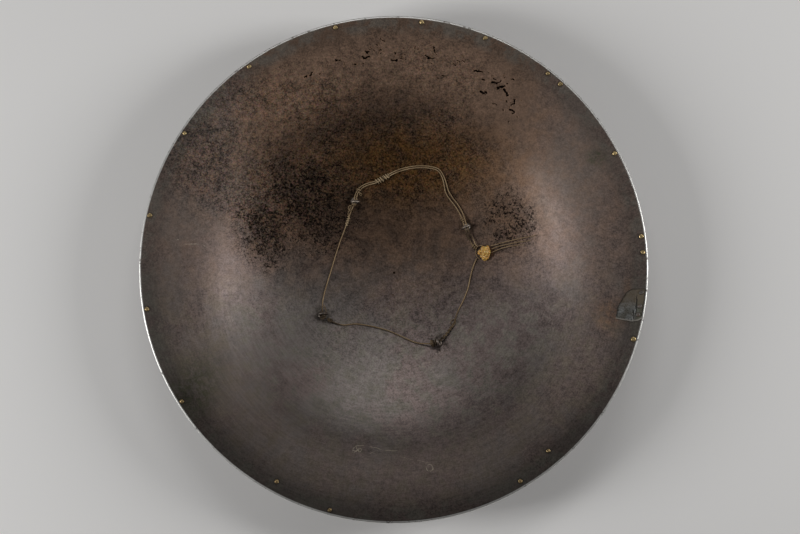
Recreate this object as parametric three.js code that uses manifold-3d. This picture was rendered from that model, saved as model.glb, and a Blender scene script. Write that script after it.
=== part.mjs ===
// A round steel shield of the dished kind with a flat outer flange, lying on its front, hollow side up.
// Four iron eyes for the lost grip stand in the hollow, with a length of old twine threaded through them.
// Millimetres, +Z up. The origin is on the surface the shield lies on, under the middle of the rim.

import * as THREE from 'three';
import { mergeVertices } from 'three/addons/utils/BufferGeometryUtils.js';
import Module from 'manifold-3d';

const wasm = await Module();
wasm.setup();

const rad = THREE.MathUtils.degToRad;

// Driving dimensions of the plate. Its section is two arcs that meet at the turn, where it is steepest.
const RIM_RADIUS = 225;
const PLATE_THICKNESS = 2;
const TURN_RADIUS = 157.5;
const TURN_SLOPE = rad(25);
const RIM_SLOPE = rad(4);
const EDGE_ROUND = 0.7;
const GROUND_CLEARANCE = 5;

// Fits and facets.
const GAP = 0.3;
const ROUND_SEGMENTS = 56;
const BOWL_ROWS = 7;
const FLANGE_ROWS = 4;
const BOSS_SEGMENTS = 20;
const BOSS_ROWS = 4;
const EYE_SEGMENTS = 12;
const RIVET_SEGMENTS = 6;

// Fastenings: iron eyes let into iron bosses, and brass rivets around the rim.
const EYE_RING_RADIUS = 3.6;
const EYE_WIRE_RADIUS = 1.1;
const EYE_COLLAR_RADIUS = 3.4;
const EYE_COLLAR_HEIGHT = 1.2;
const EYE_SHANK_RADIUS = 2;
const EYE_SHANK_LENGTH = 9;
const BOSS_SPHERE_RADIUS = 26;
const BOSS_WEAR = 0.7;
const RIVET_SHANK_RADIUS = 1.1;
const RIVET_END_RADIUS = 2;
const RIVET_HEAD_RADIUS = 2.6;

// The iron repair plate at the edge, and the wax lump on the twine.
const PATCH_THICKNESS = 1;
const TWINE_RADIUS = 0.6;
const TAIL_RADIUS = 0.45;

// Each eye's place, and the way its ring faces, in degrees from +X.
const EYES = [
  { name: '1', radius: 77.3, angle: 31.4, ringTurn: 22 },
  { name: '2', radius: 73.2, angle: 119.0, ringTurn: -4 },
  { name: '3', radius: 76.0, angle: 211.4, ringTurn: 5 },
  { name: '4', radius: 76.4, angle: 301.7, ringTurn: 104 },
];

// The rim rivets go round at a hand-set pitch of about 21 degrees, with a few put in later beside them.
const RIVET_CIRCLE = 220.6;
const RIM_RIVETS = [
  { angle: 3.4 }, { angle: 7.1 }, { angle: 27.3 }, { angle: 47.8 }, { angle: 51.6 }, { angle: 68.3 },
  { angle: 83.5 }, { angle: 103.6 }, { angle: 125.7 }, { angle: 147.3 }, { angle: 168 }, { angle: 189.7 },
  { angle: 212.5 }, { angle: 241.5, radius: 214.5 }, { angle: 255.3 }, { angle: 300.5, radius: 218.5 },
  { angle: 310, radius: 211 }, { angle: 343.2 },
];
const PATCH_RIVETS = [
  { angle: 354.1, radius: 219.6 },
  { angle: 350.9, radius: 219.8 },
  { angle: 348.9, radius: 219.4 },
];

// The twine's routes: x, y, and the height of its middle above the plate.
const UPPER_ROUTE = [
  [74.7, 19.9, 2.6], [72.5, 22.0, 1.7], [69.8, 25.8, 1.3], [67.7, 30.2, 2.2], [65.7, 34.8, 4.2],
  [64.1, 39.4, 5.1], [62.1, 45.3, 3.6], [59.4, 52.3, 1.4], [55.3, 59.1, 1.0], [50.4, 65.4, 1.0],
  [46.8, 71.3, 1.0], [45.4, 77.9, 1.0], [43.7, 84.6, 1.1], [39.9, 90.4, 1.1], [32.7, 92.9, 1.1],
  [20.1, 93.4, 1.1], [8.3, 91.3, 1.1], [0.2, 88.4, 1.1], [-7.1, 84.4, 1.1], [-15.2, 80.4, 1.2],
  [-23.8, 77.9, 1.5], [-29.2, 74.8, 2.2], [-32.4, 70.7, 3.4], [-33.7, 66.6, 4.6], [-34.6, 63.0, 5.0],
  [-36.4, 59.1, 3.8], [-38.6, 54.8, 2.0], [-40.9, 48.6, 1.1], [-44.7, 37.7, 1.0], [-48.7, 26.8, 1.0],
  [-52.8, 14.1, 1.0], [-56.8, 0.5, 1.0], [-60.3, -11.4, 1.0], [-63.0, -21.4, 1.2], [-64.2, -29.7, 2.6],
  [-64.2, -36.2, 4.8], [-63.8, -39.8, 5.0], [-63.2, -43.2, 4.0],
];
const SECOND_ROUTE = [
  [75.7, 21.6, 4.4], [73.7, 23.9, 3.6], [72.0, 27.9, 2.8], [69.9, 31.8, 2.8], [67.5, 35.9, 4.3],
  [66.0, 40.2, 5.1], [64.4, 45.7, 3.7], [62.1, 52.7, 1.5], [58.5, 59.5, 1.0], [53.3, 66.3, 1.0],
  [49.5, 72.6, 1.0], [47.6, 78.8, 1.0], [45.3, 85.3, 1.1], [40.9, 91.8, 1.1], [33.0, 94.5, 1.1],
  [20.0, 95.0, 1.1], [7.8, 92.9, 1.1], [-0.5, 89.9, 1.1], [-7.9, 85.8, 1.1], [-15.8, 81.9, 1.2],
  [-24.5, 79.4, 1.5], [-30.3, 76.1, 2.2], [-33.9, 71.4, 3.4], [-35.4, 67.2, 4.6], [-36.4, 63.3, 5.0],
  [-38.0, 59.6, 3.9], [-40.2, 55.7, 2.6],
];
const LOWER_ROUTE = [
  [-59.2, -43.8, 3.2], [-54.8, -45.9, 1.8], [-45.8, -48.5, 1.1], [-34.1, -47.5, 1.0], [-19.7, -49.6, 1.0],
  [-5.2, -53.4, 1.0], [8.3, -59.3, 1.0], [20.0, -64.4, 1.2], [29.0, -65.6, 2.6], [34.4, -65.4, 4.4],
  [39.6, -64.1, 5.0], [44.3, -60.5, 4.0], [49.7, -54.1, 2.0], [54.3, -46.3, 1.1], [57.5, -36.8, 1.0],
  [62.9, -25.9, 1.0], [67.0, -15.1, 1.0], [69.3, -4.2, 1.0], [72.0, 5.2, 1.2], [74.8, 11.4, 1.8],
];
const TAIL_ROUTES = [
  [
    [87.3, 22.0, 6.6], [90.1, 22.8, 6.5], [95.5, 24.2, 6.2], [101.7, 25.7, 5.5],
    [108.0, 27.1, 4.6], [114.2, 28.4, 3.4], [120.4, 29.6, 2.2], [127.5, 30.8, 1.0],
  ],
  [
    [88.0, 19.4, 5.3], [90.8, 20.4, 5.1], [95.5, 22.0, 4.8], [100.9, 23.1, 4.2],
    [106.2, 24.1, 3.5], [111.6, 25.1, 2.6], [116.9, 25.8, 1.7], [123.1, 26.4, 0.9],
  ],
  [
    [88.0, 16.4, 4.0], [90.8, 17.6, 3.7], [94.7, 19.2, 3.1], [99.2, 20.6, 2.4],
    [103.7, 21.6, 1.8], [108.4, 22.3, 1.2], [113.0, 22.7, 0.9], [117.6, 22.6, 0.9],
  ],
];

// The lump of wax: three lobes run together, each with its middle, its half sizes and its lift.
const WAX_LOBES = [
  { x: 83.0, y: 17.3, size: [3.8, 5.0, 4.2] },
  { x: 78.7, y: 16.6, size: [2.9, 2.8, 2.9] },
  { x: 82.4, y: 12.2, size: [2.9, 2.9, 2.7] },
];

// Worked out from the dimensions above.
const BOWL_ARC = TURN_RADIUS / Math.sin(TURN_SLOPE);
const FLANGE_ARC = (RIM_RADIUS - TURN_RADIUS) / (Math.sin(TURN_SLOPE) - Math.sin(RIM_SLOPE));
const MIDDLE_HEIGHT = GROUND_CLEARANCE + PLATE_THICKNESS;
const TURN_HEIGHT = MIDDLE_HEIGHT + BOWL_ARC * (1 - Math.cos(TURN_SLOPE));

function material(colour, roughness, metalness) {
  return new THREE.MeshStandardMaterial({ color: colour, roughness, metalness });
}

const STEEL = material(0x5a4d45, 0.45, 0.85);
const IRON = material(0x55504b, 0.6, 0.8);
const BRASS = material(0xb59a5c, 0.4, 0.9);
const TWINE = material(0xb08a58, 0.9, 0);
const WAX = material(0xe2ac4c, 0.5, 0);

// Slope and height of the hollow side at a distance from the axis.
function slopeAt(radius) {
  if (radius <= TURN_RADIUS) return Math.asin(radius / BOWL_ARC);
  return Math.asin(Math.sin(TURN_SLOPE) - (radius - TURN_RADIUS) / FLANGE_ARC);
}

function heightAt(radius) {
  const cosine = Math.cos(slopeAt(radius));
  if (radius <= TURN_RADIUS) return MIDDLE_HEIGHT + BOWL_ARC * (1 - cosine);
  return TURN_HEIGHT + FLANGE_ARC * (cosine - Math.cos(TURN_SLOPE));
}

// A point of the section, at a depth into the plate, square to the hollow side.
function sectionPoint(radius, depth) {
  const slope = slopeAt(radius);
  return new THREE.Vector2(radius + depth * Math.sin(slope), heightAt(radius) - depth * Math.cos(slope));
}

// Distances from the axis at which the section is given, out to the flange's end.
function sectionRadii() {
  const flangeEnd = RIM_RADIUS - EDGE_ROUND;
  const radii = [];
  for (let row = 0; row <= BOWL_ROWS; row += 1) radii.push((TURN_RADIUS * row) / BOWL_ROWS);
  for (let row = 1; row <= FLANGE_ROWS; row += 1) {
    radii.push(TURN_RADIUS + ((flangeEnd - TURN_RADIUS) * row) / FLANGE_ROWS);
  }
  return radii;
}

// Merge shared corners, and drop the triangles that collapse on an axis.
function weld(geometry) {
  const bare = geometry.clone();
  bare.deleteAttribute('normal');
  bare.deleteAttribute('uv');
  const merged = mergeVertices(bare, 1e-4);
  const corners = merged.index.array;
  const kept = [];
  for (let i = 0; i < corners.length; i += 3) {
    const [a, b, c] = [corners[i], corners[i + 1], corners[i + 2]];
    if (a !== b && b !== c && c !== a) kept.push(a, b, c);
  }
  merged.setIndex(kept);
  return merged;
}

function toSolid(geometry) {
  const welded = weld(geometry);
  return new wasm.Manifold(new wasm.Mesh({
    numProp: 3,
    vertProperties: new Float32Array(welded.attributes.position.array),
    triVerts: new Uint32Array(welded.index.array),
  }));
}

function toGeometry(solid) {
  const mesh = solid.getMesh();
  const geometry = new THREE.BufferGeometry();
  geometry.setAttribute('position', new THREE.BufferAttribute(new Float32Array(mesh.vertProperties), 3));
  geometry.setIndex(new THREE.BufferAttribute(new Uint32Array(mesh.triVerts), 1));
  return geometry;
}

// A turned solid about +Z. The outline runs from its foot, outside first.
function turned(outline, segments) {
  const points = outline.map(([x, y]) => new THREE.Vector2(x, y));
  return new THREE.LatheGeometry(points, segments).rotateX(Math.PI / 2);
}

// The frame of a fastening: on the hollow side, with +Z square to the plate and +X outward.
function seat(radius, angle) {
  const group = new THREE.Group();
  const turn = rad(angle);
  group.position.set(radius * Math.cos(turn), radius * Math.sin(turn), heightAt(radius));
  group.rotation.set(0, -slopeAt(radius), turn, 'ZYX');
  group.updateMatrixWorld();
  return group;
}

// A hole through the plate and what lies on it, square to the hollow side.
function holeCutter(place, radius, segments) {
  const reach = 4 * PLATE_THICKNESS;
  const hole = turned([[0, -reach], [radius, -reach], [radius, reach], [0, reach]], segments);
  return toSolid(hole.applyMatrix4(place.matrixWorld));
}

function rivetSeats(rivets) {
  return rivets.map(({ angle, radius = RIVET_CIRCLE }) => seat(radius, angle));
}

function rivetHole(place) {
  return holeCutter(place, RIVET_SHANK_RADIUS + 1.2 * GAP, RIVET_SEGMENTS);
}

// The plate: dished middle, reversed curve in the flange, rounded edge, drilled for every fastening.
function plateGeometry() {
  const radii = sectionRadii();
  const front = radii.map((radius) => sectionPoint(radius, PLATE_THICKNESS));
  const edge = new THREE.Vector2(RIM_RADIUS, heightAt(RIM_RADIUS) - PLATE_THICKNESS / 2);
  const hollow = radii.map((radius) => sectionPoint(radius, 0)).reverse();
  const outline = [...front, edge, ...hollow].map((point) => [point.x, point.y]);
  let plate = toSolid(turned(outline, ROUND_SEGMENTS));
  for (const place of rivetSeats([...RIM_RIVETS, ...PATCH_RIVETS])) plate = plate.subtract(rivetHole(place));
  for (const { radius, angle } of EYES) {
    plate = plate.subtract(holeCutter(seat(radius, angle), EYE_SHANK_RADIUS + 1.2 * GAP, EYE_SEGMENTS));
  }
  return toGeometry(plate);
}

// The repair plate's outline, seen from above: straight cuts, with the rim side following the edge.
function patchOutline() {
  const rimSide = RIM_RADIUS - 1.6;
  const outline = [[196.2, -45.4], [210.0, -48.2], [215.5, -47.4]];
  for (const angle of [-11.8, -9.5, -7.2, -4.9]) {
    outline.push([rimSide * Math.cos(rad(angle)), rimSide * Math.sin(rad(angle))]);
  }
  outline.push([210.3, -19.2], [206.0, -22.1], [203.3, -25.6], [199.8, -31.7], [198.0, -34.6]);
  return new THREE.Shape(outline.map(([x, y]) => new THREE.Vector2(x, y)));
}

// The repair plate lies on the hollow side, bent to it.
function patchGeometry() {
  const radii = sectionRadii().filter((radius) => radius > TURN_RADIUS);
  const under = radii.map((radius) => sectionPoint(radius, -GAP));
  const over = radii.map((radius) => sectionPoint(radius, -GAP - PATCH_THICKNESS)).reverse();
  const ring = [...under, ...over, under[0]].map((point) => [point.x, point.y]);
  const column = new THREE.ExtrudeGeometry(patchOutline(), { depth: 2 * TURN_HEIGHT, bevelEnabled: false });
  let patch = toSolid(turned(ring, ROUND_SEGMENTS)).intersect(toSolid(column));
  for (const place of rivetSeats(PATCH_RIVETS)) patch = patch.subtract(rivetHole(place));
  return toGeometry(patch);
}

// A rivet: low dome on the front, shank through the plate, small hammered end in the hollow.
function rivetGeometry(lift) {
  const headTop = -PLATE_THICKNESS - GAP;
  const endFoot = lift + GAP;
  return weld(turned([
    [0, headTop - 1.2],
    [RIVET_HEAD_RADIUS, headTop],
    [RIVET_SHANK_RADIUS, headTop],
    [RIVET_SHANK_RADIUS, endFoot],
    [RIVET_END_RADIUS, endFoot],
    [1.3, endFoot + 0.6],
    [0, endFoot + 0.7],
  ], RIVET_SEGMENTS));
}

// An eye: a ring of round wire on a collar, with a shank that goes through the plate into its boss.
function eyeGeometry(ringTurn) {
  const shankFoot = -PLATE_THICKNESS - EYE_SHANK_LENGTH;
  const collarTop = GAP + EYE_COLLAR_HEIGHT;
  const stem = toSolid(turned([
    [0, shankFoot],
    [EYE_SHANK_RADIUS, shankFoot],
    [EYE_SHANK_RADIUS, GAP],
    [EYE_COLLAR_RADIUS, GAP],
    [EYE_COLLAR_RADIUS - 0.6, collarTop],
    [0, collarTop],
  ], EYE_SEGMENTS));
  const ring = new THREE.TorusGeometry(EYE_RING_RADIUS, EYE_WIRE_RADIUS, 6, 14);
  ring.rotateX(Math.PI / 2);
  ring.translate(0, 0, collarTop + EYE_RING_RADIUS + EYE_WIRE_RADIUS - 0.5);
  ring.rotateZ(ringTurn);
  return toGeometry(stem.add(toSolid(ring)));
}

// All that lies above the plate's front, less the gap, so that a boss can be fitted under it.
function aboveFront() {
  const radii = sectionRadii();
  const front = radii.map((radius) => sectionPoint(radius, PLATE_THICKNESS + GAP));
  const outline = [...front.map((point) => [point.x, point.y]), [0, 2 * TURN_HEIGHT]];
  return toSolid(turned(outline, ROUND_SEGMENTS));
}

// A boss in its place: part of a sphere, fitted to the front, blind-drilled for the shank of its eye.
// The sphere dips below the ground by the wear, so that the boss rests on a small worn flat.
function bossGeometry(place, slope) {
  const restHeight = BOSS_SPHERE_RADIUS - BOSS_WEAR - place.position.z;
  const middle = restHeight / Math.cos(slope);
  const halfAngle = Math.acos((middle + PLATE_THICKNESS) / BOSS_SPHERE_RADIUS);
  const outline = [];
  for (let row = 0; row <= BOSS_ROWS; row += 1) {
    const angle = (halfAngle * row) / BOSS_ROWS;
    outline.push([BOSS_SPHERE_RADIUS * Math.sin(angle), middle - BOSS_SPHERE_RADIUS * Math.cos(angle)]);
  }
  outline.push([BOSS_SPHERE_RADIUS * Math.sin(halfAngle), 0], [0, 0]);
  const drillFoot = -PLATE_THICKNESS - EYE_SHANK_LENGTH - GAP;
  const drillRadius = EYE_SHANK_RADIUS + 1.2 * GAP;
  const drill = turned([[0, drillFoot], [drillRadius, drillFoot], [drillRadius, 1], [0, 1]], EYE_SEGMENTS);
  const underground = new THREE.BoxGeometry(4 * RIM_RADIUS, 4 * RIM_RADIUS, RIM_RADIUS);
  underground.translate(0, 0, -RIM_RADIUS / 2);
  return toGeometry(
    toSolid(turned(outline, BOSS_SEGMENTS).applyMatrix4(place.matrixWorld))
      .subtract(toSolid(drill.applyMatrix4(place.matrixWorld)))
      .subtract(aboveFront())
      .subtract(toSolid(underground)),
  );
}

// A round cord with eight sides, along a route that lies on the plate.
function cordGeometry(route, radius, steps) {
  const points = route.map(([x, y, lift]) => new THREE.Vector3(x, y, heightAt(Math.hypot(x, y)) + lift));
  const section = new THREE.Shape().absarc(0, 0, radius, 0, 2 * Math.PI);
  const extrudePath = new THREE.CatmullRomCurve3(points);
  return weld(new THREE.ExtrudeGeometry(section, { steps, curveSegments: 4, bevelEnabled: false, extrudePath }));
}

// The wax lump: rounded lobes joined into one.
function waxGeometry() {
  let lump = null;
  for (const { x, y, size } of WAX_LOBES) {
    const lobe = new THREE.IcosahedronGeometry(1, 1);
    lobe.scale(...size);
    lobe.translate(x, y, heightAt(Math.hypot(x, y)) + size[2] + 2 * GAP);
    lump = lump ? lump.add(toSolid(lobe)) : toSolid(lobe);
  }
  return toGeometry(lump);
}

function addMesh(parent, name, geometry, finish) {
  geometry.computeVertexNormals();
  const mesh = new THREE.Mesh(geometry, finish);
  mesh.name = name;
  parent.add(mesh);
}

function addRivets(parent, name, rivets, lift, finish) {
  rivetSeats(rivets).forEach((place, i) => {
    addMesh(place, `${name}_${String(i + 1).padStart(2, '0')}`, rivetGeometry(lift), finish);
    parent.add(place);
  });
}

function addEyesAndBosses(parent) {
  for (const { name, radius, angle, ringTurn } of EYES) {
    const place = seat(radius, angle);
    addMesh(place, `grip_eye_${name}`, eyeGeometry(rad(ringTurn - angle)), IRON);
    parent.add(place);
    addMesh(parent, `front_boss_${name}`, bossGeometry(place, slopeAt(radius)), IRON);
  }
}

function addTwine(parent) {
  addMesh(parent, 'twine_upper', cordGeometry(UPPER_ROUTE, TWINE_RADIUS, 34), TWINE);
  addMesh(parent, 'twine_second', cordGeometry(SECOND_ROUTE, TWINE_RADIUS, 24), TWINE);
  addMesh(parent, 'twine_lower', cordGeometry(LOWER_ROUTE, TWINE_RADIUS, 20), TWINE);
  TAIL_ROUTES.forEach((route, i) => {
    addMesh(parent, `twine_tail_${i + 1}`, cordGeometry(route, TAIL_RADIUS, 4), TWINE);
  });
  addMesh(parent, 'wax_seal', waxGeometry(), WAX);
}

const shield = new THREE.Group();
addMesh(shield, 'shield_plate', plateGeometry(), STEEL);
addMesh(shield, 'edge_patch', patchGeometry(), IRON);
addRivets(shield, 'rim_rivet', RIM_RIVETS, 0, BRASS);
addRivets(shield, 'patch_rivet', PATCH_RIVETS, PATCH_THICKNESS + GAP, IRON);
addEyesAndBosses(shield);
addTwine(shield);

export default shield;
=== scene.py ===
# %% [markdown]
# This lesson builds a round dished steel shield that lies on its front, so that we look into its hollow
# side. The plain solids of the model come first and fix every size and place. Each cell below then
# replaces one of them with a finer piece, made by the tools that a modeller uses by hand, and gives it a
# worn surface.

# %% Load the frame of plain solids
import math
import random

import bpy
from mathutils import Matrix, Vector, noise


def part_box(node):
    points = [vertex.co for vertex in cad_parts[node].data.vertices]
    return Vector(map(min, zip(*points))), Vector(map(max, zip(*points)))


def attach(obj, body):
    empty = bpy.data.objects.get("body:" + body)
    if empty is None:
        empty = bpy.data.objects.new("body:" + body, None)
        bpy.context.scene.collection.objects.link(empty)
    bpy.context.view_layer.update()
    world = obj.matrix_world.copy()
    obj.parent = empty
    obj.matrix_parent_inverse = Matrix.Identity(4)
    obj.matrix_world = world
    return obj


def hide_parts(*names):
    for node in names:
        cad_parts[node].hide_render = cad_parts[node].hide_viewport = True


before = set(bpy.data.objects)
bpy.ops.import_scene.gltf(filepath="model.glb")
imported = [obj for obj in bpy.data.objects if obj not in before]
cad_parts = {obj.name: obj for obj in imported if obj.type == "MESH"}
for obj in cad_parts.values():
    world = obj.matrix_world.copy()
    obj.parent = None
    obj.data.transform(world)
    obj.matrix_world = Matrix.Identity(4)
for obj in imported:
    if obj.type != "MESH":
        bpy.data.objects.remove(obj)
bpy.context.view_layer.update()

# %% [markdown]
# The camera looks almost straight down into the dish. A long lens keeps the round rim round. Its target
# is a point at the height of the rim, a little to the right of the middle.

# %% Camera
MM = 0.001
CAMERA_ELEVATION = math.radians(85)
CAMERA_DISTANCE = 1.963
LENS_LENGTH = 100
SENSOR_WIDTH = 36

target = Vector((5.6 * MM, 0, 59.4 * MM))
away = Vector((0, -math.cos(CAMERA_ELEVATION), math.sin(CAMERA_ELEVATION)))
camera_data = bpy.data.cameras.new("camera")
camera_data.lens = LENS_LENGTH
camera_data.sensor_width = SENSOR_WIDTH
camera = bpy.data.objects.new("camera", camera_data)
camera.location = target + away * CAMERA_DISTANCE
camera.rotation_euler = (-away).to_track_quat("-Z", "Y").to_euler()
bpy.context.scene.collection.objects.link(camera)
bpy.context.scene.camera = camera
print("camera at", [round(c, 3) for c in camera.location])

# %% [markdown]
# The plate's section is two arcs: the bowl rises ever steeper out to the turn, and the flange then bends
# back until it is almost level at the rim. Every fastening sits square to this surface, so its slope and
# height are wanted all through the lesson. The rim's size comes from the model.

# %% The section of the plate
RIM_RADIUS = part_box("shield_plate")[1].x
PLATE_THICKNESS = 2 * MM
MIDDLE_HEIGHT = 7 * MM
TURN_RADIUS = 0.7 * RIM_RADIUS
TURN_SLOPE = math.radians(25)
RIM_SLOPE = math.radians(4)
BOWL_ARC = TURN_RADIUS / math.sin(TURN_SLOPE)
FLANGE_ARC = (RIM_RADIUS - TURN_RADIUS) / (math.sin(TURN_SLOPE) - math.sin(RIM_SLOPE))


def slope_at(radius):
    """Slope of the hollow side at a distance from the axis."""
    if radius <= TURN_RADIUS:
        return math.asin(radius / BOWL_ARC)
    return math.asin(math.sin(TURN_SLOPE) - (min(radius, RIM_RADIUS) - TURN_RADIUS) / FLANGE_ARC)


def height_at(radius):
    """Height of the hollow side at a distance from the axis."""
    cosine = math.cos(slope_at(radius))
    if radius <= TURN_RADIUS:
        return MIDDLE_HEIGHT + BOWL_ARC * (1 - cosine)
    turn_height = MIDDLE_HEIGHT + BOWL_ARC * (1 - math.cos(TURN_SLOPE))
    return turn_height + FLANGE_ARC * (cosine - math.cos(TURN_SLOPE))


print("rim stands", round(height_at(RIM_RADIUS) / MM, 1), "mm high")

# %% [markdown]
# The twine comes next, because its length is a fact that the rest must leave alone. It is drawn as a
# curve through listed points: x, y, and the height of its middle above the plate, in millimetres.
# A Catmull-Rom curve passes through every point, so a handful of points gives one smooth lie.

# %% Routes of the twine
TWINE_RADIUS = 0.6 * MM
TAIL_RADIUS = 0.45 * MM
UPPER_ROUTE = [
    (74.7, 19.9, 2.6), (72.5, 22.0, 1.7), (69.8, 25.8, 1.3), (67.7, 30.2, 2.2), (65.7, 34.8, 4.2),
    (64.1, 39.4, 5.1), (62.1, 45.3, 3.6), (59.4, 52.3, 1.4), (55.3, 59.1, 1.0), (50.4, 65.4, 1.0),
    (46.8, 71.3, 1.0), (45.4, 77.9, 1.0), (43.7, 84.6, 1.1), (39.9, 90.4, 1.1), (32.7, 92.9, 1.1),
    (20.1, 93.4, 1.1), (8.3, 91.3, 1.1), (0.2, 88.4, 1.1), (-7.1, 84.4, 1.1), (-15.2, 80.4, 1.2),
    (-23.8, 77.9, 1.5), (-29.2, 74.8, 2.2), (-32.4, 70.7, 3.4), (-33.7, 66.6, 4.6), (-34.6, 63.0, 5.0),
    (-36.4, 59.1, 3.8), (-38.6, 54.8, 2.0), (-40.9, 48.6, 1.1), (-44.7, 37.7, 1.0), (-48.7, 26.8, 1.0),
    (-52.8, 14.1, 1.0), (-56.8, 0.5, 1.0), (-60.3, -11.4, 1.0), (-63.0, -21.4, 1.2), (-64.2, -29.7, 2.6),
    (-64.2, -36.2, 4.8), (-63.8, -39.8, 5.0), (-63.2, -43.2, 4.0),
]
SECOND_ROUTE = [
    (75.7, 21.6, 4.4), (73.7, 23.9, 3.6), (72.0, 27.9, 2.8), (69.9, 31.8, 2.8), (67.5, 35.9, 4.3),
    (66.0, 40.2, 5.1), (64.4, 45.7, 3.7), (62.1, 52.7, 1.5), (58.5, 59.5, 1.0), (53.3, 66.3, 1.0),
    (49.5, 72.6, 1.0), (47.6, 78.8, 1.0), (45.3, 85.3, 1.1), (40.9, 91.8, 1.1), (33.0, 94.5, 1.1),
    (20.0, 95.0, 1.1), (7.8, 92.9, 1.1), (-0.5, 89.9, 1.1), (-7.9, 85.8, 1.1), (-15.8, 81.9, 1.2),
    (-24.5, 79.4, 1.5), (-30.3, 76.1, 2.2), (-33.9, 71.4, 3.4), (-35.4, 67.2, 4.6), (-36.4, 63.3, 5.0),
    (-38.0, 59.6, 3.9), (-40.2, 55.7, 2.6),
]
LOWER_ROUTE = [
    (-59.2, -43.8, 3.2), (-54.8, -45.9, 1.8), (-45.8, -48.5, 1.1), (-34.1, -47.5, 1.0), (-19.7, -49.6, 1.0),
    (-5.2, -53.4, 1.0), (8.3, -59.3, 1.0), (20.0, -64.4, 1.2), (29.0, -65.6, 2.6), (34.4, -65.4, 4.4),
    (39.6, -64.1, 5.0), (44.3, -60.5, 4.0), (49.7, -54.1, 2.0), (54.3, -46.3, 1.1), (57.5, -36.8, 1.0),
    (62.9, -25.9, 1.0), (67.0, -15.1, 1.0), (69.3, -4.2, 1.0), (72.0, 5.2, 1.2), (74.8, 11.4, 1.8),
]
TAIL_ROUTES = [
    [
        (87.3, 22.0, 6.6), (90.1, 22.8, 6.5), (95.5, 24.2, 6.2), (101.7, 25.7, 5.5),
        (108.0, 27.1, 4.6), (114.2, 28.4, 3.4), (120.4, 29.6, 2.2), (127.5, 30.8, 1.0),
    ],
    [
        (88.0, 19.4, 5.3), (90.8, 20.4, 5.1), (95.5, 22.0, 4.8), (100.9, 23.1, 4.2),
        (106.2, 24.1, 3.5), (111.6, 25.1, 2.6), (116.9, 25.8, 1.7), (123.1, 26.4, 0.9),
    ],
    [
        (88.0, 16.4, 4.0), (90.8, 17.6, 3.7), (94.7, 19.2, 3.1), (99.2, 20.6, 2.4),
        (103.7, 21.6, 1.8), (108.4, 22.3, 1.2), (113.0, 22.7, 0.9), (117.6, 22.6, 0.9),
    ],
]


def on_plate(x, y, lift):
    """A point given in millimetres, with its height above the plate, as a point in metres."""
    x, y, lift = x * MM, y * MM, lift * MM
    return Vector((x, y, height_at(math.hypot(x, y)) + lift))


def smooth_path(points, step=0.35 * MM):
    """Points along a centripetal Catmull-Rom curve through the given ones, about a step apart."""
    ends = [2 * points[0] - points[1], *points, 2 * points[-1] - points[-2]]
    path = []
    for a, b, c, d in zip(ends, ends[1:], ends[2:], ends[3:]):
        ta = 0
        tb = ta + math.sqrt((b - a).length)
        tc = tb + math.sqrt((c - b).length)
        td = tc + math.sqrt((d - c).length)
        count = max(2, round((c - b).length / step))
        for i in range(count):
            t = tb + (tc - tb) * i / count
            ab = a.lerp(b, (t - ta) / (tb - ta))
            bc = b.lerp(c, (t - tb) / (tc - tb))
            cd = c.lerp(d, (t - tc) / (td - tc))
            abc = ab.lerp(bc, (t - ta) / (tc - ta))
            bcd = bc.lerp(cd, (t - tb) / (td - tb))
            path.append(abc.lerp(bcd, (t - tb) / (tc - tb)))
    return [*path, points[-1]]


def path_length(path):
    return sum((b - a).length for a, b in zip(path, path[1:]))


# %% [markdown]
# A twine is plies laid round each other, so its section is a small clover that turns as it goes along.
# The clover is a closed curve used as the bevel of the route, and the tilt of each point turns it. The
# curve is then made a mesh with closed ends, and each point keeps how deep in a groove between plies it
# lies.

# %% Make a twisted strand
PLIES = 3
PLY_DEPTH = 0.2
LAY_LENGTH = 7 * MM
CLOVER_POINTS = 12


def deselect_all():
    if bpy.context.object and bpy.context.object.mode != "OBJECT":
        bpy.ops.object.mode_set(mode="OBJECT")
    bpy.ops.object.select_all(action="DESELECT")


def pick(piece):
    """Make one object the only selected and active one."""
    deselect_all()
    piece.select_set(True)
    bpy.context.view_layer.objects.active = piece


def clover_section(radius):
    data = bpy.data.curves.new("clover", "CURVE")
    data.dimensions = "2D"
    spline = data.splines.new("POLY")
    spline.points.add(CLOVER_POINTS - 1)
    spline.use_cyclic_u = True
    for i, point in enumerate(spline.points):
        angle = 2 * math.pi * i / CLOVER_POINTS
        reach = radius * (1 - PLY_DEPTH * (0.5 - 0.5 * math.cos(PLIES * angle)))
        point.co = (reach * math.cos(angle), reach * math.sin(angle), 0, 1)
    section = bpy.data.objects.new("clover", data)
    bpy.context.scene.collection.objects.link(section)
    return section


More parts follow.
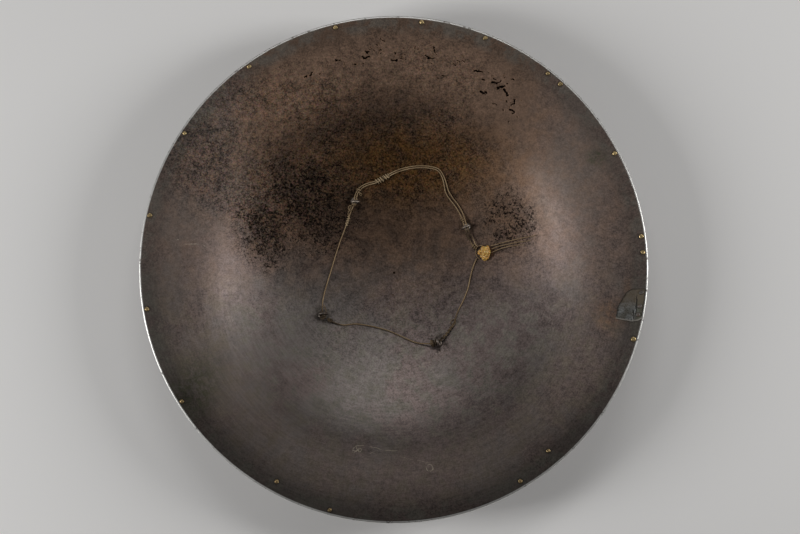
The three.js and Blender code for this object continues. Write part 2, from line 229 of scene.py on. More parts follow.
def make_strand(name, path, radius, taper=0.0, swell=0.12, seed=0):
    """A twisted strand along a path, as a closed mesh. The taper thins its far end."""
    section = clover_section(radius)
    data = bpy.data.curves.new(name, "CURVE")
    data.dimensions = "3D"
    data.bevel_mode = "OBJECT"
    data.bevel_object = section
    data.use_fill_caps = True
    spline = data.splines.new("POLY")
    spline.points.add(len(path) - 1)
    run = 0
    for i, point in enumerate(spline.points):
        if i:
            run += (path[i] - path[i - 1]).length
        far = i / (len(path) - 1)
        lump = noise.noise(Vector((run / (6 * MM), seed, 0)))
        point.co = (*path[i], 1)
        point.tilt = 2 * math.pi * run / LAY_LENGTH
        point.radius = (1 + swell * lump) * (1 - taper * far**4)
    strand = bpy.data.objects.new(name, data)
    bpy.context.scene.collection.objects.link(strand)
    pick(strand)
    bpy.ops.object.convert(target="MESH")
    strand = bpy.context.object
    groove = strand.data.attributes.new("ply_groove", "FLOAT", "POINT")
    for i, value in enumerate(groove.data):
        value.value = 0.5 - 0.5 * math.cos(PLIES * 2 * math.pi * (i % CLOVER_POINTS) / CLOVER_POINTS)
    bpy.ops.object.mode_set(mode="EDIT")
    bpy.ops.mesh.select_all(action="SELECT")
    bpy.ops.mesh.remove_doubles(threshold=0.01 * MM)
    bpy.ops.mesh.normals_make_consistent(inside=False)
    bpy.ops.object.mode_set(mode="OBJECT")
    bpy.ops.object.shade_smooth()
    bpy.data.objects.remove(section)
    return strand


# %% [markdown]
# Wraps and knots are made of the same strand. A wrap is a helix round a stretch of a route. Two
# directions square to the route carry each turn, and the helix leans along the route as it goes.

# %% Make a wrap round a stretch of a route


def square_frames(path):
    """For each point of a path, two unit directions square to it that don't twist along the way."""
    side = Vector((0, 0, 1))
    frames = []
    for i, point in enumerate(path):
        ahead = (path[min(i + 1, len(path) - 1)] - path[max(i - 1, 0)]).normalized()
        side = (side - side.dot(ahead) * ahead).normalized()
        frames.append((side, ahead.cross(side)))
    return frames


def wrap_path(path, turns, reach, start_angle=0.0, uneven=0.0, seed=0):
    """A helix round the path: so many turns at a distance, uneven by a share of that distance."""
    dice = random.Random(seed)
    frames = square_frames(path)
    steps = max(8, int(turns * 14))
    points = []
    for i in range(steps + 1):
        far = i / steps * (len(path) - 1)
        k = min(int(far), len(path) - 2)
        middle = path[k].lerp(path[k + 1], far - k)
        angle = start_angle + 2 * math.pi * turns * i / steps
        out = reach * (1 + uneven * dice.uniform(-1, 1))
        side, other = frames[k]
        points.append(middle + out * (math.cos(angle) * side + math.sin(angle) * other))
    return points


def stretch(path, start, end):
    """The part of a path between two shares of its length."""
    last = len(path) - 1
    return path[round(start * last):round(end * last) + 1]


def between(first, second):
    """The path halfway between each point of one path and the nearest point of another."""
    return [point.lerp(min(second, key=lambda other: (other - point).length), 0.5) for point in first]


upper_path = smooth_path([on_plate(*p) for p in UPPER_ROUTE])
second_path = smooth_path([on_plate(*p) for p in SECOND_ROUTE])
lower_path = smooth_path([on_plate(*p) for p in LOWER_ROUTE])
tail_paths = [smooth_path([on_plate(*p) for p in route]) for route in TAIL_ROUTES]
paired_path = between(stretch(upper_path, 0.43, 0.58), second_path)
for name, path in [("upper", upper_path), ("second", second_path), ("lower", lower_path)]:
    print(name, "run of twine:", round(path_length(path) / MM, 1), "mm")
print("tails:", [round(path_length(path) / MM, 1) for path in tail_paths])

# %% [markdown]
# Three strands make the runs, and three thinner ones the loose tails. A bare curve with a round bevel
# would be quicker, but a mesh keeps the plies. The second strand and the tails taper, as twine does where
# it has frayed.

# %% Strands of the twine
twine_upper = make_strand("twine_upper_strand", upper_path, TWINE_RADIUS, seed=1)
twine_second = make_strand("twine_second_strand", second_path, TWINE_RADIUS, taper=0.3, seed=2)
twine_lower = make_strand("twine_lower_strand", lower_path, TWINE_RADIUS, seed=3)
tails = [
    make_strand(f"twine_tail_strand_{i + 1}", path, TAIL_RADIUS, taper=0.35, swell=0.2, seed=4 + i)
    for i, path in enumerate(tail_paths)
]
print("strands:", 3 + len(tails))

# %% [markdown]
# Where the runs end they are whipped round each other and round the eyes. Each tie is its own piece, made
# of a helix or a short loop through listed points. The ties are listed as what they wrap, from where to
# where, and how often. Where a turn would go down into the plate, it is lifted until it lies on it.

# %% Wraps, knots and loops on the twine
WRAPS = [
    # name, path, start, end, turns, reach in mm, unevenness
    ("second_end_wrap", upper_path, 0.652, 0.682, 4.0, 1.15, 0.12),
    ("second_upper_wrap", upper_path, 0.585, 0.612, 3.2, 1.35, 0.15),
    ("arch_wrap_1", paired_path, 0.27, 0.46, 3.4, 2.1, 0.2),
    ("left_eye_wrap", upper_path, 0.978, 1.0, 3.0, 1.9, 0.2),
    ("lower_start_wrap", lower_path, 0.0, 0.022, 2.4, 1.4, 0.2),
    ("lower_eye_wrap_1", lower_path, 0.518, 0.533, 3.0, 2.6, 0.25),
    ("lower_eye_wrap_2", lower_path, 0.537, 0.552, 3.0, 2.3, 0.25),
    ("lower_after_eye_wrap", lower_path, 0.56, 0.665, 6.0, 1.1, 0.15),
    ("right_eye_wrap", upper_path, 0.098, 0.112, 2.2, 1.3, 0.1),
    ("seal_wrap", upper_path, 0.0, 0.02, 2.6, 1.3, 0.15),
    ("arch_wrap_2", paired_path, 0.14, 0.25, 2.2, 2.0, 0.2),
    ("arch_wrap_3", paired_path, 0.82, 0.9, 1.5, 1.9, 0.15),
]
LOOPS = {
    "upper_hanging_loop": [
        (-31.4, 70.4, 4.6), (-30.2, 70.6, 4.2), (-29.3, 69.8, 3.2), (-29.6, 68.9, 2.4), (-30.6, 68.9, 2.6),
        (-31.4, 69.8, 3.4),
    ],
    "left_knot_end": [
        (-39.8, 55.0, 3.6), (-40.8, 54.2, 2.8), (-41.4, 52.4, 1.6), (-40.9, 50.2, 1.1), (-40.0, 48.0, 1.0),
    ],
    "second_knot_loop": [
        (-38.2, 59.0, 5.2), (-39.9, 59.2, 4.4), (-41.0, 57.8, 3.0), (-40.7, 56.0, 2.2), (-39.4, 55.2, 2.8),
        (-38.4, 55.6, 3.6),
    ],
    "left_eye_loop": [
        (-63.2, -30.5, 2.6), (-61.6, -33.8, 3.6), (-60.8, -37.6, 4.6), (-61.6, -41.2, 5.0),
        (-63.6, -43.4, 4.6), (-65.8, -42.6, 3.4), (-66.6, -39.4, 2.2),
    ],
    "right_side_loop": [
        (64.9, 33.4, 3.4), (66.2, 30.6, 2.6), (68.9, 27.6, 1.8), (70.2, 24.6, 1.3), (72.2, 22.4, 1.3),
    ],
    "after_eye_loop": [
        (49.6, -52.9, 3.4), (51.8, -50.4, 3.0), (54.4, -48.4, 2.2), (55.6, -45.6, 1.4), (54.2, -43.6, 1.2),
        (52.0, -44.8, 1.6), (50.6, -47.6, 2.4),
    ],
    "seal_loop": [
        (80.4, 22.6, 3.4), (77.4, 23.0, 2.8), (74.8, 20.8, 2.2), (74.0, 17.0, 1.6), (75.0, 13.2, 1.6),
        (77.6, 10.6, 1.8),
    ],
}

WRAP_RADIUS = 0.92 * TWINE_RADIUS
WRAP_GAP = 0.25 * MM


def keep_above_plate(path, clear):
    """The path with each point lifted to at least this far above the plate's hollow side."""
    lifted = []
    for point in path:
        lowest = height_at(math.hypot(point.x, point.y)) + clear
        lifted.append(Vector((point.x, point.y, max(point.z, lowest))))
    return lifted


ties = {}
for i, (name, path, start, end, turns, reach, uneven) in enumerate(WRAPS):
    helix = wrap_path(stretch(path, start, end), turns, reach * MM, 0.7 * i, uneven, seed=20 + i)
    helix = keep_above_plate(smooth_path(helix), WRAP_RADIUS + WRAP_GAP)
    ties[name] = make_strand(name, helix, WRAP_RADIUS, seed=20 + i)
for i, (name, route) in enumerate(LOOPS.items()):
    loop = smooth_path([on_plate(*p) for p in route])
    ties[name] = make_strand(name, loop, 0.8 * TWINE_RADIUS, taper=0.3, seed=40 + i)
print("ties:", len(ties), "pieces")

# %% [markdown]
# The finished strands take the place of the model's plain cords, which are hidden. Wraps and loops
# belong to the strand that they are tied round, and all hang under the root body.

def declare(strand, node, tie_names=()):
    """Hang the strand and its ties under the root body and hide the node that it stands for."""
    for piece in [strand, *(ties[name] for name in tie_names)]:
        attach(piece, "root")
    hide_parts(node)


declare(
    twine_upper, "twine_upper",
    ["left_eye_wrap", "left_eye_loop", "right_eye_wrap", "right_side_loop", "seal_wrap", "seal_loop",
     "arch_wrap_1", "arch_wrap_2", "arch_wrap_3"],
)
declare(
    twine_second, "twine_second",
    ["second_end_wrap", "second_upper_wrap", "upper_hanging_loop", "left_knot_end", "second_knot_loop"],
)
declare(
    twine_lower, "twine_lower",
    ["lower_start_wrap", "lower_eye_wrap_1", "lower_eye_wrap_2", "lower_after_eye_wrap", "after_eye_loop"],
)
for i, (tail, path) in enumerate(zip(tails, tail_paths)):
    declare(tail, f"twine_tail_{i + 1}")

# %% [markdown]
# The studio: a pale floor, two long soft lights low at the left and right, and one beyond the shield. The
# hollow side acts as a dish mirror, so each light shows as a soft bright band on the side away from it.

# %% Floor, lights and world
FLOOR_SIZE = 8
FLOOR_COLOUR = (0.92, 0.91, 0.895, 1)
LIGHT_AIM = Vector((0, 0, 30 * MM))
LIGHTS = [
    # name, compass degrees from +X, degrees from upright, distance, width, height, watts
    ("right_light", 8, 57, 1.8, 0.45, 1.0, 12.2),
    ("left_light", 189, 57, 1.8, 0.45, 1.15, 15.2),
    ("far_light", 90, 32, 1.8, 0.85, 0.35, 3.2),
]


def new_material(name):
    made = bpy.data.materials.new(name)
    made.use_nodes = True
    return made


deselect_all()
bpy.ops.mesh.primitive_plane_add(size=FLOOR_SIZE, location=(0, 0, 0))
floor = bpy.context.object
floor.name = "floor"
floor_paint = new_material("floor_paint")
floor_paint.node_tree.nodes["Principled BSDF"].inputs["Base Color"].default_value = FLOOR_COLOUR
floor_paint.node_tree.nodes["Principled BSDF"].inputs["Roughness"].default_value = 0.8
floor.data.materials.append(floor_paint)

for name, compass, lean, distance, width, height, watts in LIGHTS:
    lamp = bpy.data.lights.new(name, "AREA")
    lamp.shape = "RECTANGLE"
    lamp.size, lamp.size_y, lamp.energy = width, height, watts
    compass, lean = math.radians(compass), math.radians(lean)
    towards = Vector(
        (math.sin(lean) * math.cos(compass), math.sin(lean) * math.sin(compass), math.cos(lean))
    )
    light = bpy.data.objects.new(name, lamp)
    light.location = LIGHT_AIM + towards * distance
    light.rotation_euler = (-towards).to_track_quat("-Z", "Y").to_euler()
    bpy.context.scene.collection.objects.link(light)

world = bpy.data.worlds.new("studio")
world.use_nodes = True
world.node_tree.nodes["Background"].inputs["Color"].default_value = (0.035, 0.034, 0.034, 1)
bpy.context.scene.world = world
bpy.context.scene.view_settings.view_transform = "Standard"
print("lights:", [row[0] for row in LIGHTS])

# %% [markdown]
# The plate is one sheet, hammered up and turned smooth. Its section is drawn as a row of points, by
# extruding a single vertex, and spun round the axis. The corner between bowl and flange is soft on a
# hammered plate, so the slope is averaged over a short stretch. The edge is a half round.

# %% Draw the section and spin it
SPIN_STEPS = 288
HOLLOW_STEP = 2 * MM
FRONT_STEP = 4.5 * MM
TURN_SOFTNESS = 20 * MM
EDGE_STEPS = 6


def soft_slope_at(radius, samples=9):
    spread = [radius + TURN_SOFTNESS * (i / (samples - 1) - 0.5) for i in range(samples)]
    return sum(slope_at(max(0, r)) for r in spread) / samples


def section_points(step):
    """Radius, height and slope of the hollow side, from the middle to where the edge's round starts."""
    end = RIM_RADIUS - PLATE_THICKNESS / 2
    count = round(end / step)
    height = MIDDLE_HEIGHT
    rows = [(0, height, 0)]
    for i in range(1, count + 1):
        radius = end * i / count
        height += math.tan(soft_slope_at(radius - end / count / 2)) * end / count
        rows.append((radius, height, soft_slope_at(radius)))
    return rows


hollow_line = [Vector((r, 0, z)) for r, z, slope in section_points(HOLLOW_STEP)]
front_rows = section_points(FRONT_STEP)
front_line = [
    Vector((r + PLATE_THICKNESS * math.sin(slope), 0, z - PLATE_THICKNESS * math.cos(slope)))
    for r, z, slope in front_rows
]
edge_middle = (hollow_line[-1] + front_line[-1]) / 2
edge_line = []
for i in range(1, EDGE_STEPS):
    turn = math.pi * (0.5 - i / EDGE_STEPS)
    edge_line.append(
        edge_middle + PLATE_THICKNESS / 2 * Vector((math.cos(turn), 0, math.sin(turn)))
    )
outline = [*hollow_line, *edge_line, *reversed(front_line)]



def spin_outline(name, points, steps):
    """A solid turned about the Z axis from an outline in the XZ plane, given as vectors."""
    deselect_all()
    bpy.ops.mesh.primitive_plane_add(size=MM, location=points[0])
    piece = bpy.context.object
    piece.name = name
    bpy.ops.object.transform_apply(location=True, rotation=True, scale=True)
    bpy.ops.object.mode_set(mode="EDIT")
    bpy.ops.mesh.select_mode(type="VERT")
    bpy.ops.mesh.merge(type="CENTER")
    for a, b in zip(points, points[1:]):
        bpy.ops.mesh.extrude_region_move(TRANSFORM_OT_translate={"value": b - a})
    bpy.ops.mesh.select_all(action="SELECT")
    bpy.ops.mesh.spin(
        steps=steps, angle=2 * math.pi, center=(0, 0, 0), axis=(0, 0, 1), use_auto_merge=True
    )
    bpy.ops.mesh.select_all(action="SELECT")
    bpy.ops.mesh.remove_doubles(threshold=0.02 * MM)
    bpy.ops.mesh.normals_make_consistent(inside=False)
    bpy.ops.object.mode_set(mode="OBJECT")
    return piece


plate = spin_outline("shield_plate_finished", outline, SPIN_STEPS)
plate_top = max(v.co.z for v in plate.data.vertices)
print("plate:", len(plate.data.polygons), "faces, top at", round(plate_top, 5))

# %% [markdown]
# Scale has flaked off the top of the flange and left small dark pits with sharp rims. They are real
# hollows, so the mesh is divided finely only there. Each pit is a short stroke with a width, small ones
# lie round them. The depth of each vertex is kept as an attribute, which the surface's material reads as
# well.

# %% Where the pits are
PIT_STROKES = [
    # the two ends x, y, x, y and the width, in millimetres
    (-10.5, 203.5, -8.1, 203.2, 1.3), (-15.2, 200.0, -15.2, 198.9, 1.1), (-24.7, 193.6, -22.4, 192.8, 1.6),
    (-21.8, 194.8, -20.6, 195.4, 1.1), (-17.6, 194.8, -16.4, 194.0, 0.8), (-12.3, 194.8, -10.5, 195.4, 1.3),
    (-11.7, 192.5, -11.4, 192.3, 1.1), (-28.3, 188.6, -24.8, 187.9, 1.9), (-24.8, 187.9, -21.8, 189.6, 1.9),
    (-51.5, 185.9, -48.2, 185.7, 1.6), (-2.1, 186.2, 3.2, 186.0, 1.9), (5.6, 187.4, 8.0, 187.1, 1.1),
    (10.4, 187.4, 10.6, 187.1, 0.8), (-34.9, 182.3, -33.7, 181.9, 1.2), (1.4, 192.5, 1.7, 192.3, 1.2),
    (-73.5, 174.6, -72.0, 175.2, 1.1), (-74.7, 171.7, -73.5, 173.5, 1.1), (-79.1, 170.5, -77.7, 171.7, 1.1),
    (-66.4, 173.8, -66.2, 173.6, 0.9), (-26.6, 183.3, -26.3, 183.0, 0.8), (-43.8, 188.9, -43.6, 188.6, 0.8),
    (18.7, 196.0, 19.3, 197.7, 0.8), (21.7, 196.0, 21.9, 195.7, 0.8), (9.8, 190.8, 10.0, 190.6, 0.8),
    (-6.9, 197.2, -6.7, 196.9, 0.8), (35.9, 197.0, 36.5, 193.6, 2.0), (36.8, 193.0, 37.7, 191.8, 1.3),
    (28.5, 190.1, 30.6, 187.8, 1.3), (30.6, 187.8, 36.0, 188.1, 1.3), (33.6, 183.2, 33.8, 183.0, 1.1),
    (56.8, 185.3, 59.1, 184.1, 0.8), (61.3, 185.8, 62.9, 184.0, 1.1), (55.0, 181.2, 56.8, 182.1, 0.8),
    (42.8, 172.5, 46.5, 172.2, 0.9), (72.2, 176.4, 78.8, 174.9, 2.1), (78.8, 168.8, 81.2, 167.9, 1.9),
    (84.7, 174.4, 84.9, 174.2, 1.1), (87.7, 166.3, 91.8, 165.0, 2.1), (89.4, 169.7, 91.2, 168.5, 1.1),
    (93.6, 166.1, 96.0, 167.2, 1.3), (92.5, 161.0, 99.0, 162.5, 2.1), (100.7, 165.4, 101.3, 164.2, 1.1),
    (98.9, 169.5, 99.2, 169.3, 1.1), (98.6, 159.7, 101.4, 155.0, 2.5), (77.7, 158.1, 80.7, 156.9, 1.9),
    (81.8, 157.8, 83.0, 156.8, 1.3), (106.6, 168.2, 107.3, 167.3, 1.1), (107.3, 147.3, 108.1, 150.7, 1.5),
    (105.3, 145.9, 107.3, 147.3, 1.1), (100.2, 149.8, 102.0, 148.6, 1.1), (104.4, 148.5, 104.6, 148.3, 0.8),
    (89.0, 147.8, 92.6, 146.6, 1.2), (97.4, 141.6, 97.6, 141.4, 1.1), (103.8, 142.0, 106.8, 141.0, 1.5),
    (105.6, 138.7, 108.0, 140.1, 1.1), (102.9, 131.7, 103.1, 131.4, 0.9),
]
SMALL_PITS = 60
SMALL_PIT_SPREAD = 3.2 * MM
PIT_MARGIN = 2.4 * MM
dice = random.Random(7)
pits = []
for x1, y1, x2, y2, width in PIT_STROKES:
    start, end = Vector((x1, y1)) * MM, Vector((x2, y2)) * MM
    pits.append((start, end, width / 2 * MM, dice.uniform(0.7, 1)))
for _ in range(SMALL_PITS):
    start, end, half, depth = dice.choice(pits[:len(PIT_STROKES)])
    place = start + Vector((dice.gauss(0, 1), dice.gauss(0, 1))) * SMALL_PIT_SPREAD
    way = Vector((dice.uniform(-1, 1), dice.uniform(-1, 1))) * MM
    pits.append((place, place + way, dice.uniform(0.3, 0.5) * MM, dice.uniform(0.3, 0.7)))
print("pits:", len(pits))


def pit_depth(x, y):
    """From 0 on sound metal to 1 in the deepest pit, with ragged edges."""
    warp = noise.noise_vector(Vector((x, y, 0)) * 500)
    here = Vector((x, y)) + warp.to_2d() * 1.1 * MM
    deepest = 0
    for start, end, half, depth in pits:
        run = end - start
        offset = here - start
        if offset.length > run.length + 3 * half:
            continue
        share = min(1, max(0, offset.dot(run) / max(run.length_squared, 1e-12)))
        ragged = 0.7 * noise.noise(Vector((x, y, 0)) * 1300)
        reach = (offset - run * share).length / half + ragged
        deepest = max(deepest, depth * min(1, max(0, (1.15 - reach) / 0.5)))
    return deepest


def select_faces(piece, wanted):
    """Select the faces of a mesh, in edit mode, whose middle and normal the test wants."""
    bpy.ops.object.mode_set(mode="OBJECT")
    for polygon in piece.data.polygons:
        polygon.select = wanted(polygon.center, polygon.normal)
    bpy.ops.object.mode_set(mode="EDIT")


def near_pits(middle, normal):
    if normal.z < 0.5 or math.hypot(middle.x, middle.y) < TURN_RADIUS * 0.95:
        return False
    here = middle.to_2d()
    return any(
        (here - start).length < (end - start).length + half + PIT_MARGIN for start, end, half, _ in pits
    )


pick(plate)
bpy.ops.object.mode_set(mode="EDIT")
bpy.ops.mesh.select_mode(type="FACE")
bpy.ops.mesh.select_all(action="DESELECT")
select_faces(plate, near_pits)
bpy.ops.mesh.subdivide(number_cuts=4, quadcorner="INNERVERT")
bpy.ops.object.mode_set(mode="OBJECT")
depths = {}
for vertex in plate.data.vertices:
    x, y, z = vertex.co
    if y > 0 and z > height_at(math.hypot(x, y)) - PLATE_THICKNESS / 2:
        depth = pit_depth(x, y)
        if depth > 0:
            depths[vertex.index] = depth
pit_group = plate.vertex_groups.new(name="pits")
for index, depth in depths.items():
    pit_group.add([index], depth, "REPLACE")
pit_attribute = plate.data.attributes.new("pit_depth", "FLOAT", "POINT")
for index, depth in depths.items():
    pit_attribute.data[index].value = depth
print("plate:", len(plate.data.polygons), "faces,", len(depths), "vertices in pits")

# %% [markdown]
# Hammering leaves a sheet slightly wavy: broad swells, and under them the small facets of the planishing
# hammer. Displace modifiers with cloud and cell textures do this. Both faces move together along Z, as a
# sheet does. The pits are one more displacement, held to their vertex group.

# %% Hammer the plate
PIT_DEPTH = 0.35 * MM


def displace(piece, name, strength, texture=None, direction="Z", group="", middle=0.5):
    """Add and apply one Displace modifier to the active piece."""
    modifier = piece.modifiers.new(name, "DISPLACE")
    modifier.strength = strength
    modifier.mid_level = middle
    modifier.direction = direction
    modifier.vertex_group = group
    if texture:
        modifier.texture = texture
        modifier.texture_coords = "LOCAL"
    bpy.ops.object.modifier_apply(modifier=modifier.name)


def cloud_texture(name, size, depth=2):
    made = bpy.data.textures.new(name, "CLOUDS")
    made.noise_scale = size
    made.noise_depth = depth
    return made


def cell_texture(name, size):
    made = bpy.data.textures.new(name, "VORONOI")
    made.noise_scale = size
    made.noise_intensity = 1.0
    return made


pick(plate)
displace(plate, "broad_swell", 0.9 * MM, cloud_texture("swell", 110 * MM, 1))
displace(plate, "hand_swell", 0.35 * MM, cloud_texture("hand", 38 * MM, 1))
displace(plate, "hammer_facets", 0.1 * MM, cell_texture("facets", 13 * MM))
displace(plate, "pits", -PIT_DEPTH, group="pits", middle=0)
bpy.ops.object.shade_smooth()
print("plate top after hammering:", round(max(v.co.z for v in plate.data.vertices), 5))

# %% [markdown]
# A finish is a recipe of nodes. This small helper gives the few steps that the recipes share short names:
# cloudy noise of a real size, a band that turns part of a value's range into a mask, sums, and mixes. All
# read Object coordinates, which are metres here, so that a grain keeps its true size on every piece.

# %% A helper for finishes
class Finish:
    """A material and its nodes, under the names that the recipes below use."""

    def __init__(self, name):
        self.material = new_material(name)
        self.tree = self.material.node_tree
        self.shader = self.tree.nodes["Principled BSDF"]
        self.place = self.node("ShaderNodeTexCoord").outputs["Object"]

    def node(self, kind, inputs=None, **settings):
        made = self.tree.nodes.new(kind)
        for key, value in settings.items():
            setattr(made, key, value)
        for key, value in (inputs or {}).items():
            self.feed(made.inputs[key], value)
        return made

    def feed(self, socket, value):
        if isinstance(value, bpy.types.NodeSocket):
            self.tree.links.new(value, socket)
        else:
            socket.default_value = value

    def cloud(self, size, detail=3, harsh=0.55, place=None, output="Fac"):
        """Cloudy values from 0 to 1, with lumps of about a size."""
        inputs = {"Vector": place or self.place, "Scale": 1 / size, "Detail": detail, "Roughness": harsh}
        return self.node("ShaderNodeTexNoise", inputs).outputs[output]

    def band(self, value, low, high, start=0.0, end=1.0):
        """A value from low to high, made to run smoothly from start to end."""
        inputs = {"Value": value, "From Min": low, "From Max": high, "To Min": start, "To Max": end}
        made = self.node("ShaderNodeMapRange", inputs, interpolation_type="SMOOTHSTEP")
        return made.outputs["Result"]

    def maths(self, operation, first, second=0.0, clamp=False):
        made = self.node("ShaderNodeMath", {0: first, 1: second}, operation=operation, use_clamp=clamp)
        return made.outputs[0]

    def times(self, *values):
        result = values[0]
        for value in values[1:]:
            result = self.maths("MULTIPLY", result, value)
        return result

    def mix(self, share, first, second):
        """A colour between two others."""
        made = self.node("ShaderNodeMix", data_type="RGBA")
        for socket, value in zip((made.inputs[0], made.inputs[6], made.inputs[7]), (share, first, second)):
            self.feed(socket, value)
        return made.outputs[2]

    def blend(self, share, first, second):
        """A number between two others."""
        made = self.node("ShaderNodeMix", data_type="FLOAT")
        for socket, value in zip((made.inputs[0], made.inputs[2], made.inputs[3]), (share, first, second)):
            self.feed(socket, value)
        return made.outputs[0]

    def ragged(self, size, reach):
        """Object coordinates pushed about by a cloud, so that a stain's edge is never a clean curve."""
        cloud = self.cloud(size, 3, 0.6, output="Color")
        centred = self.node("ShaderNodeVectorMath", {0: cloud, 1: (0.5, 0.5, 0.5)}, operation="SUBTRACT")
        scaled = self.node(
            "ShaderNodeVectorMath", {0: centred.outputs[0], "Scale": 2 * reach}, operation="SCALE"
        )
        moved = self.node("ShaderNodeVectorMath", {0: self.place, 1: scaled.outputs[0]}, operation="ADD")
        return moved.outputs[0]

    def blot(self, x, y, wide, high, turn=0.0, inner=0.3, outer=1.0, place=None):
        """A mask of 1 in the middle of an ellipse, given in millimetres, that fades to 0 at its outline."""
        inputs = {
            "Vector": place or self.place, "Location": (x * MM, y * MM, 0),
            "Rotation": (0, 0, math.radians(turn)), "Scale": (wide * MM, high * MM, 10),
        }
        mapped = self.node("ShaderNodeMapping", inputs, vector_type="TEXTURE").outputs[0]
        length = self.node("ShaderNodeVectorMath", {0: mapped}, operation="LENGTH").outputs["Value"]
        return self.band(length, inner, outer, 1.0, 0.0)

    def scratch(self, start, end, width, place=None):
        """A mask of 1 along a thin straight line between two points in millimetres, fading at its ends."""
        start, end = Vector(start) * MM, Vector(end) * MM
        middle, run = (start + end) / 2, end - start
        inputs = {
            "Vector": place or self.place, "Location": (middle.x, middle.y, 0),
            "Rotation": (0, 0, math.atan2(run.y, run.x)), "Scale": (run.length / 2, width * MM / 2, 10),
        }
        mapped = self.node("ShaderNodeMapping", inputs, vector_type="TEXTURE").outputs[0]
        length = self.node("ShaderNodeVectorMath", {0: mapped}, operation="LENGTH").outputs["Value"]
        return self.band(length, 0.4, 1.0, 1.0, 0.0)

    def ring(self, x, y, radius, width, place=None):
        """A mask of 1 along a thin circle, given in millimetres."""
        reach = radius + width / 2
        inputs = {
            "Vector": place or self.place, "Location": (x * MM, y * MM, 0),
            "Scale": (reach * MM, reach * MM, 10),
        }
        mapped = self.node("ShaderNodeMapping", inputs, vector_type="TEXTURE").outputs[0]
        length = self.node("ShaderNodeVectorMath", {0: mapped}, operation="LENGTH").outputs["Value"]
        inner = 1 - width / reach
        inside = self.band(length, inner - 0.1, inner + 0.1)
        return self.times(inside, self.band(length, 0.95, 1.1, 1.0, 0.0))

    def most(self, values):
        """The greatest of several masks."""
        result = values[0]
        for value in values[1:]:
            result = self.maths("MAXIMUM", result, value)
        return result

    def relief(self, height, depth, strength=1.0, under=None):
        """A bump from a height from 0 to 1, so many metres deep."""
        inputs = {"Height": height, "Distance": depth, "Strength": strength}
        if under:
            inputs["Normal"] = under
        return self.node("ShaderNodeBump", inputs).outputs["Normal"]

    def surface(self, **sockets):
        """Feed the shader. A name such as base_color goes to the socket Base Color."""
        for key, value in sockets.items():
            self.feed(self.shader.inputs[key.replace("_", " ").title()], value)
        return self.material


# %% [markdown]
# The hollow side is old steel under a thin brown skin. It is built up as the years did it: bare metal, a
# warm brown patina, most on the flange, a dark oily stain in the upper bowl, black mottled patches at the
# left and right of it, pepper of fine rust pits, rubbed places where the metal shows pale, scratches, and
# the bare edge.

# %% Finish of the hollow side: colours and where things lie
GREY_STEEL = (0.196, 0.171, 0.158, 1)
BROWN_STEEL = (0.19, 0.120, 0.082, 1)
MAUVE_STEEL = (0.188, 0.150, 0.139, 1)
GREEN_GREY = (0.16, 0.155, 0.135, 1)
OILY_BROWN = (0.125, 0.060, 0.018, 1)
SOOT_BLACK = (0.010, 0.008, 0.007, 1)
PIT_BLACK = (0.006, 0.004, 0.003, 1)
RUST_BROWN = (0.24, 0.122, 0.05, 1)
OLIVE_RUST = (0.075, 0.075, 0.045, 1)
PALE_SPECK = (0.46, 0.39, 0.30, 1)
BARE_STEEL = (0.78, 0.77, 0.74, 1)
EDGE_WIDTH = 1.6 * MM

hollow = Finish("old_steel_hollow_side")
loose = hollow.ragged(26 * MM, 12 * MM)
split = hollow.node("ShaderNodeSeparateXYZ", {0: hollow.place})
across, along = split.outputs[0], split.outputs[1]
flat = hollow.node("ShaderNodeCombineXYZ", {0: across, 1: along}).outputs[0]
radius = hollow.node("ShaderNodeVectorMath", {0: flat}, operation="LENGTH").outputs["Value"]
compass = hollow.maths("ARCTAN2", along, across)

broad = hollow.cloud(60 * MM, 3)
mottle = hollow.cloud(13 * MM, 5, 0.65)
grain = hollow.cloud(4.2 * MM, 5, 0.7)
grit = hollow.cloud(1.5 * MM, 4, 0.8)
fine = hollow.cloud(0.8 * MM, 3, 0.6)
streak_place = hollow.node(
    "ShaderNodeCombineXYZ", {0: hollow.times(radius, 1 / (1.6 * MM)), 1: hollow.times(compass, 7.0)}
).outputs[0]
streak = hollow.node(
    "ShaderNodeTexNoise", {"Vector": streak_place, "Scale": 1.0, "Detail": 3, "Roughness": 0.6}
).outputs["Fac"]

split_loose = hollow.node("ShaderNodeSeparateXYZ", {0: loose}).outputs[1]
upper_half = hollow.band(split_loose, -0.045, 0.05)
lower_half = hollow.band(along, 0.02, -0.06)
flange = hollow.band(radius, 0.135, 0.18)
bottom_flange = hollow.times(hollow.band(along, -0.07, -0.16), hollow.band(radius, 0.115, 0.165))
stain = hollow.blot(14, 96, 125, 56, 0, 0.2, 1.0, loose)
soot_left = hollow.maths("MAXIMUM", hollow.blot(-78, 60, 78, 56, 140, 0.1, 1.0, loose),
                         hollow.blot(-114, 34, 40, 56, 20, 0.1, 1.0, loose))
soot_right = hollow.blot(103, 44, 46, 46, 0, 0.1, 1.0, loose)
soot_field = hollow.maths("MAXIMUM", soot_left, hollow.times(soot_right, 0.6))

# %% [markdown]
# Damp and hands have turned the upper half and the flange browner than the lower bowl. A painter would
# lay one glaze over another, and each glaze here is one mix: a grey that drifts to mauve, green grey low
# down, brown above, and the oily stain last. The masks set the shares, so no border is hard.

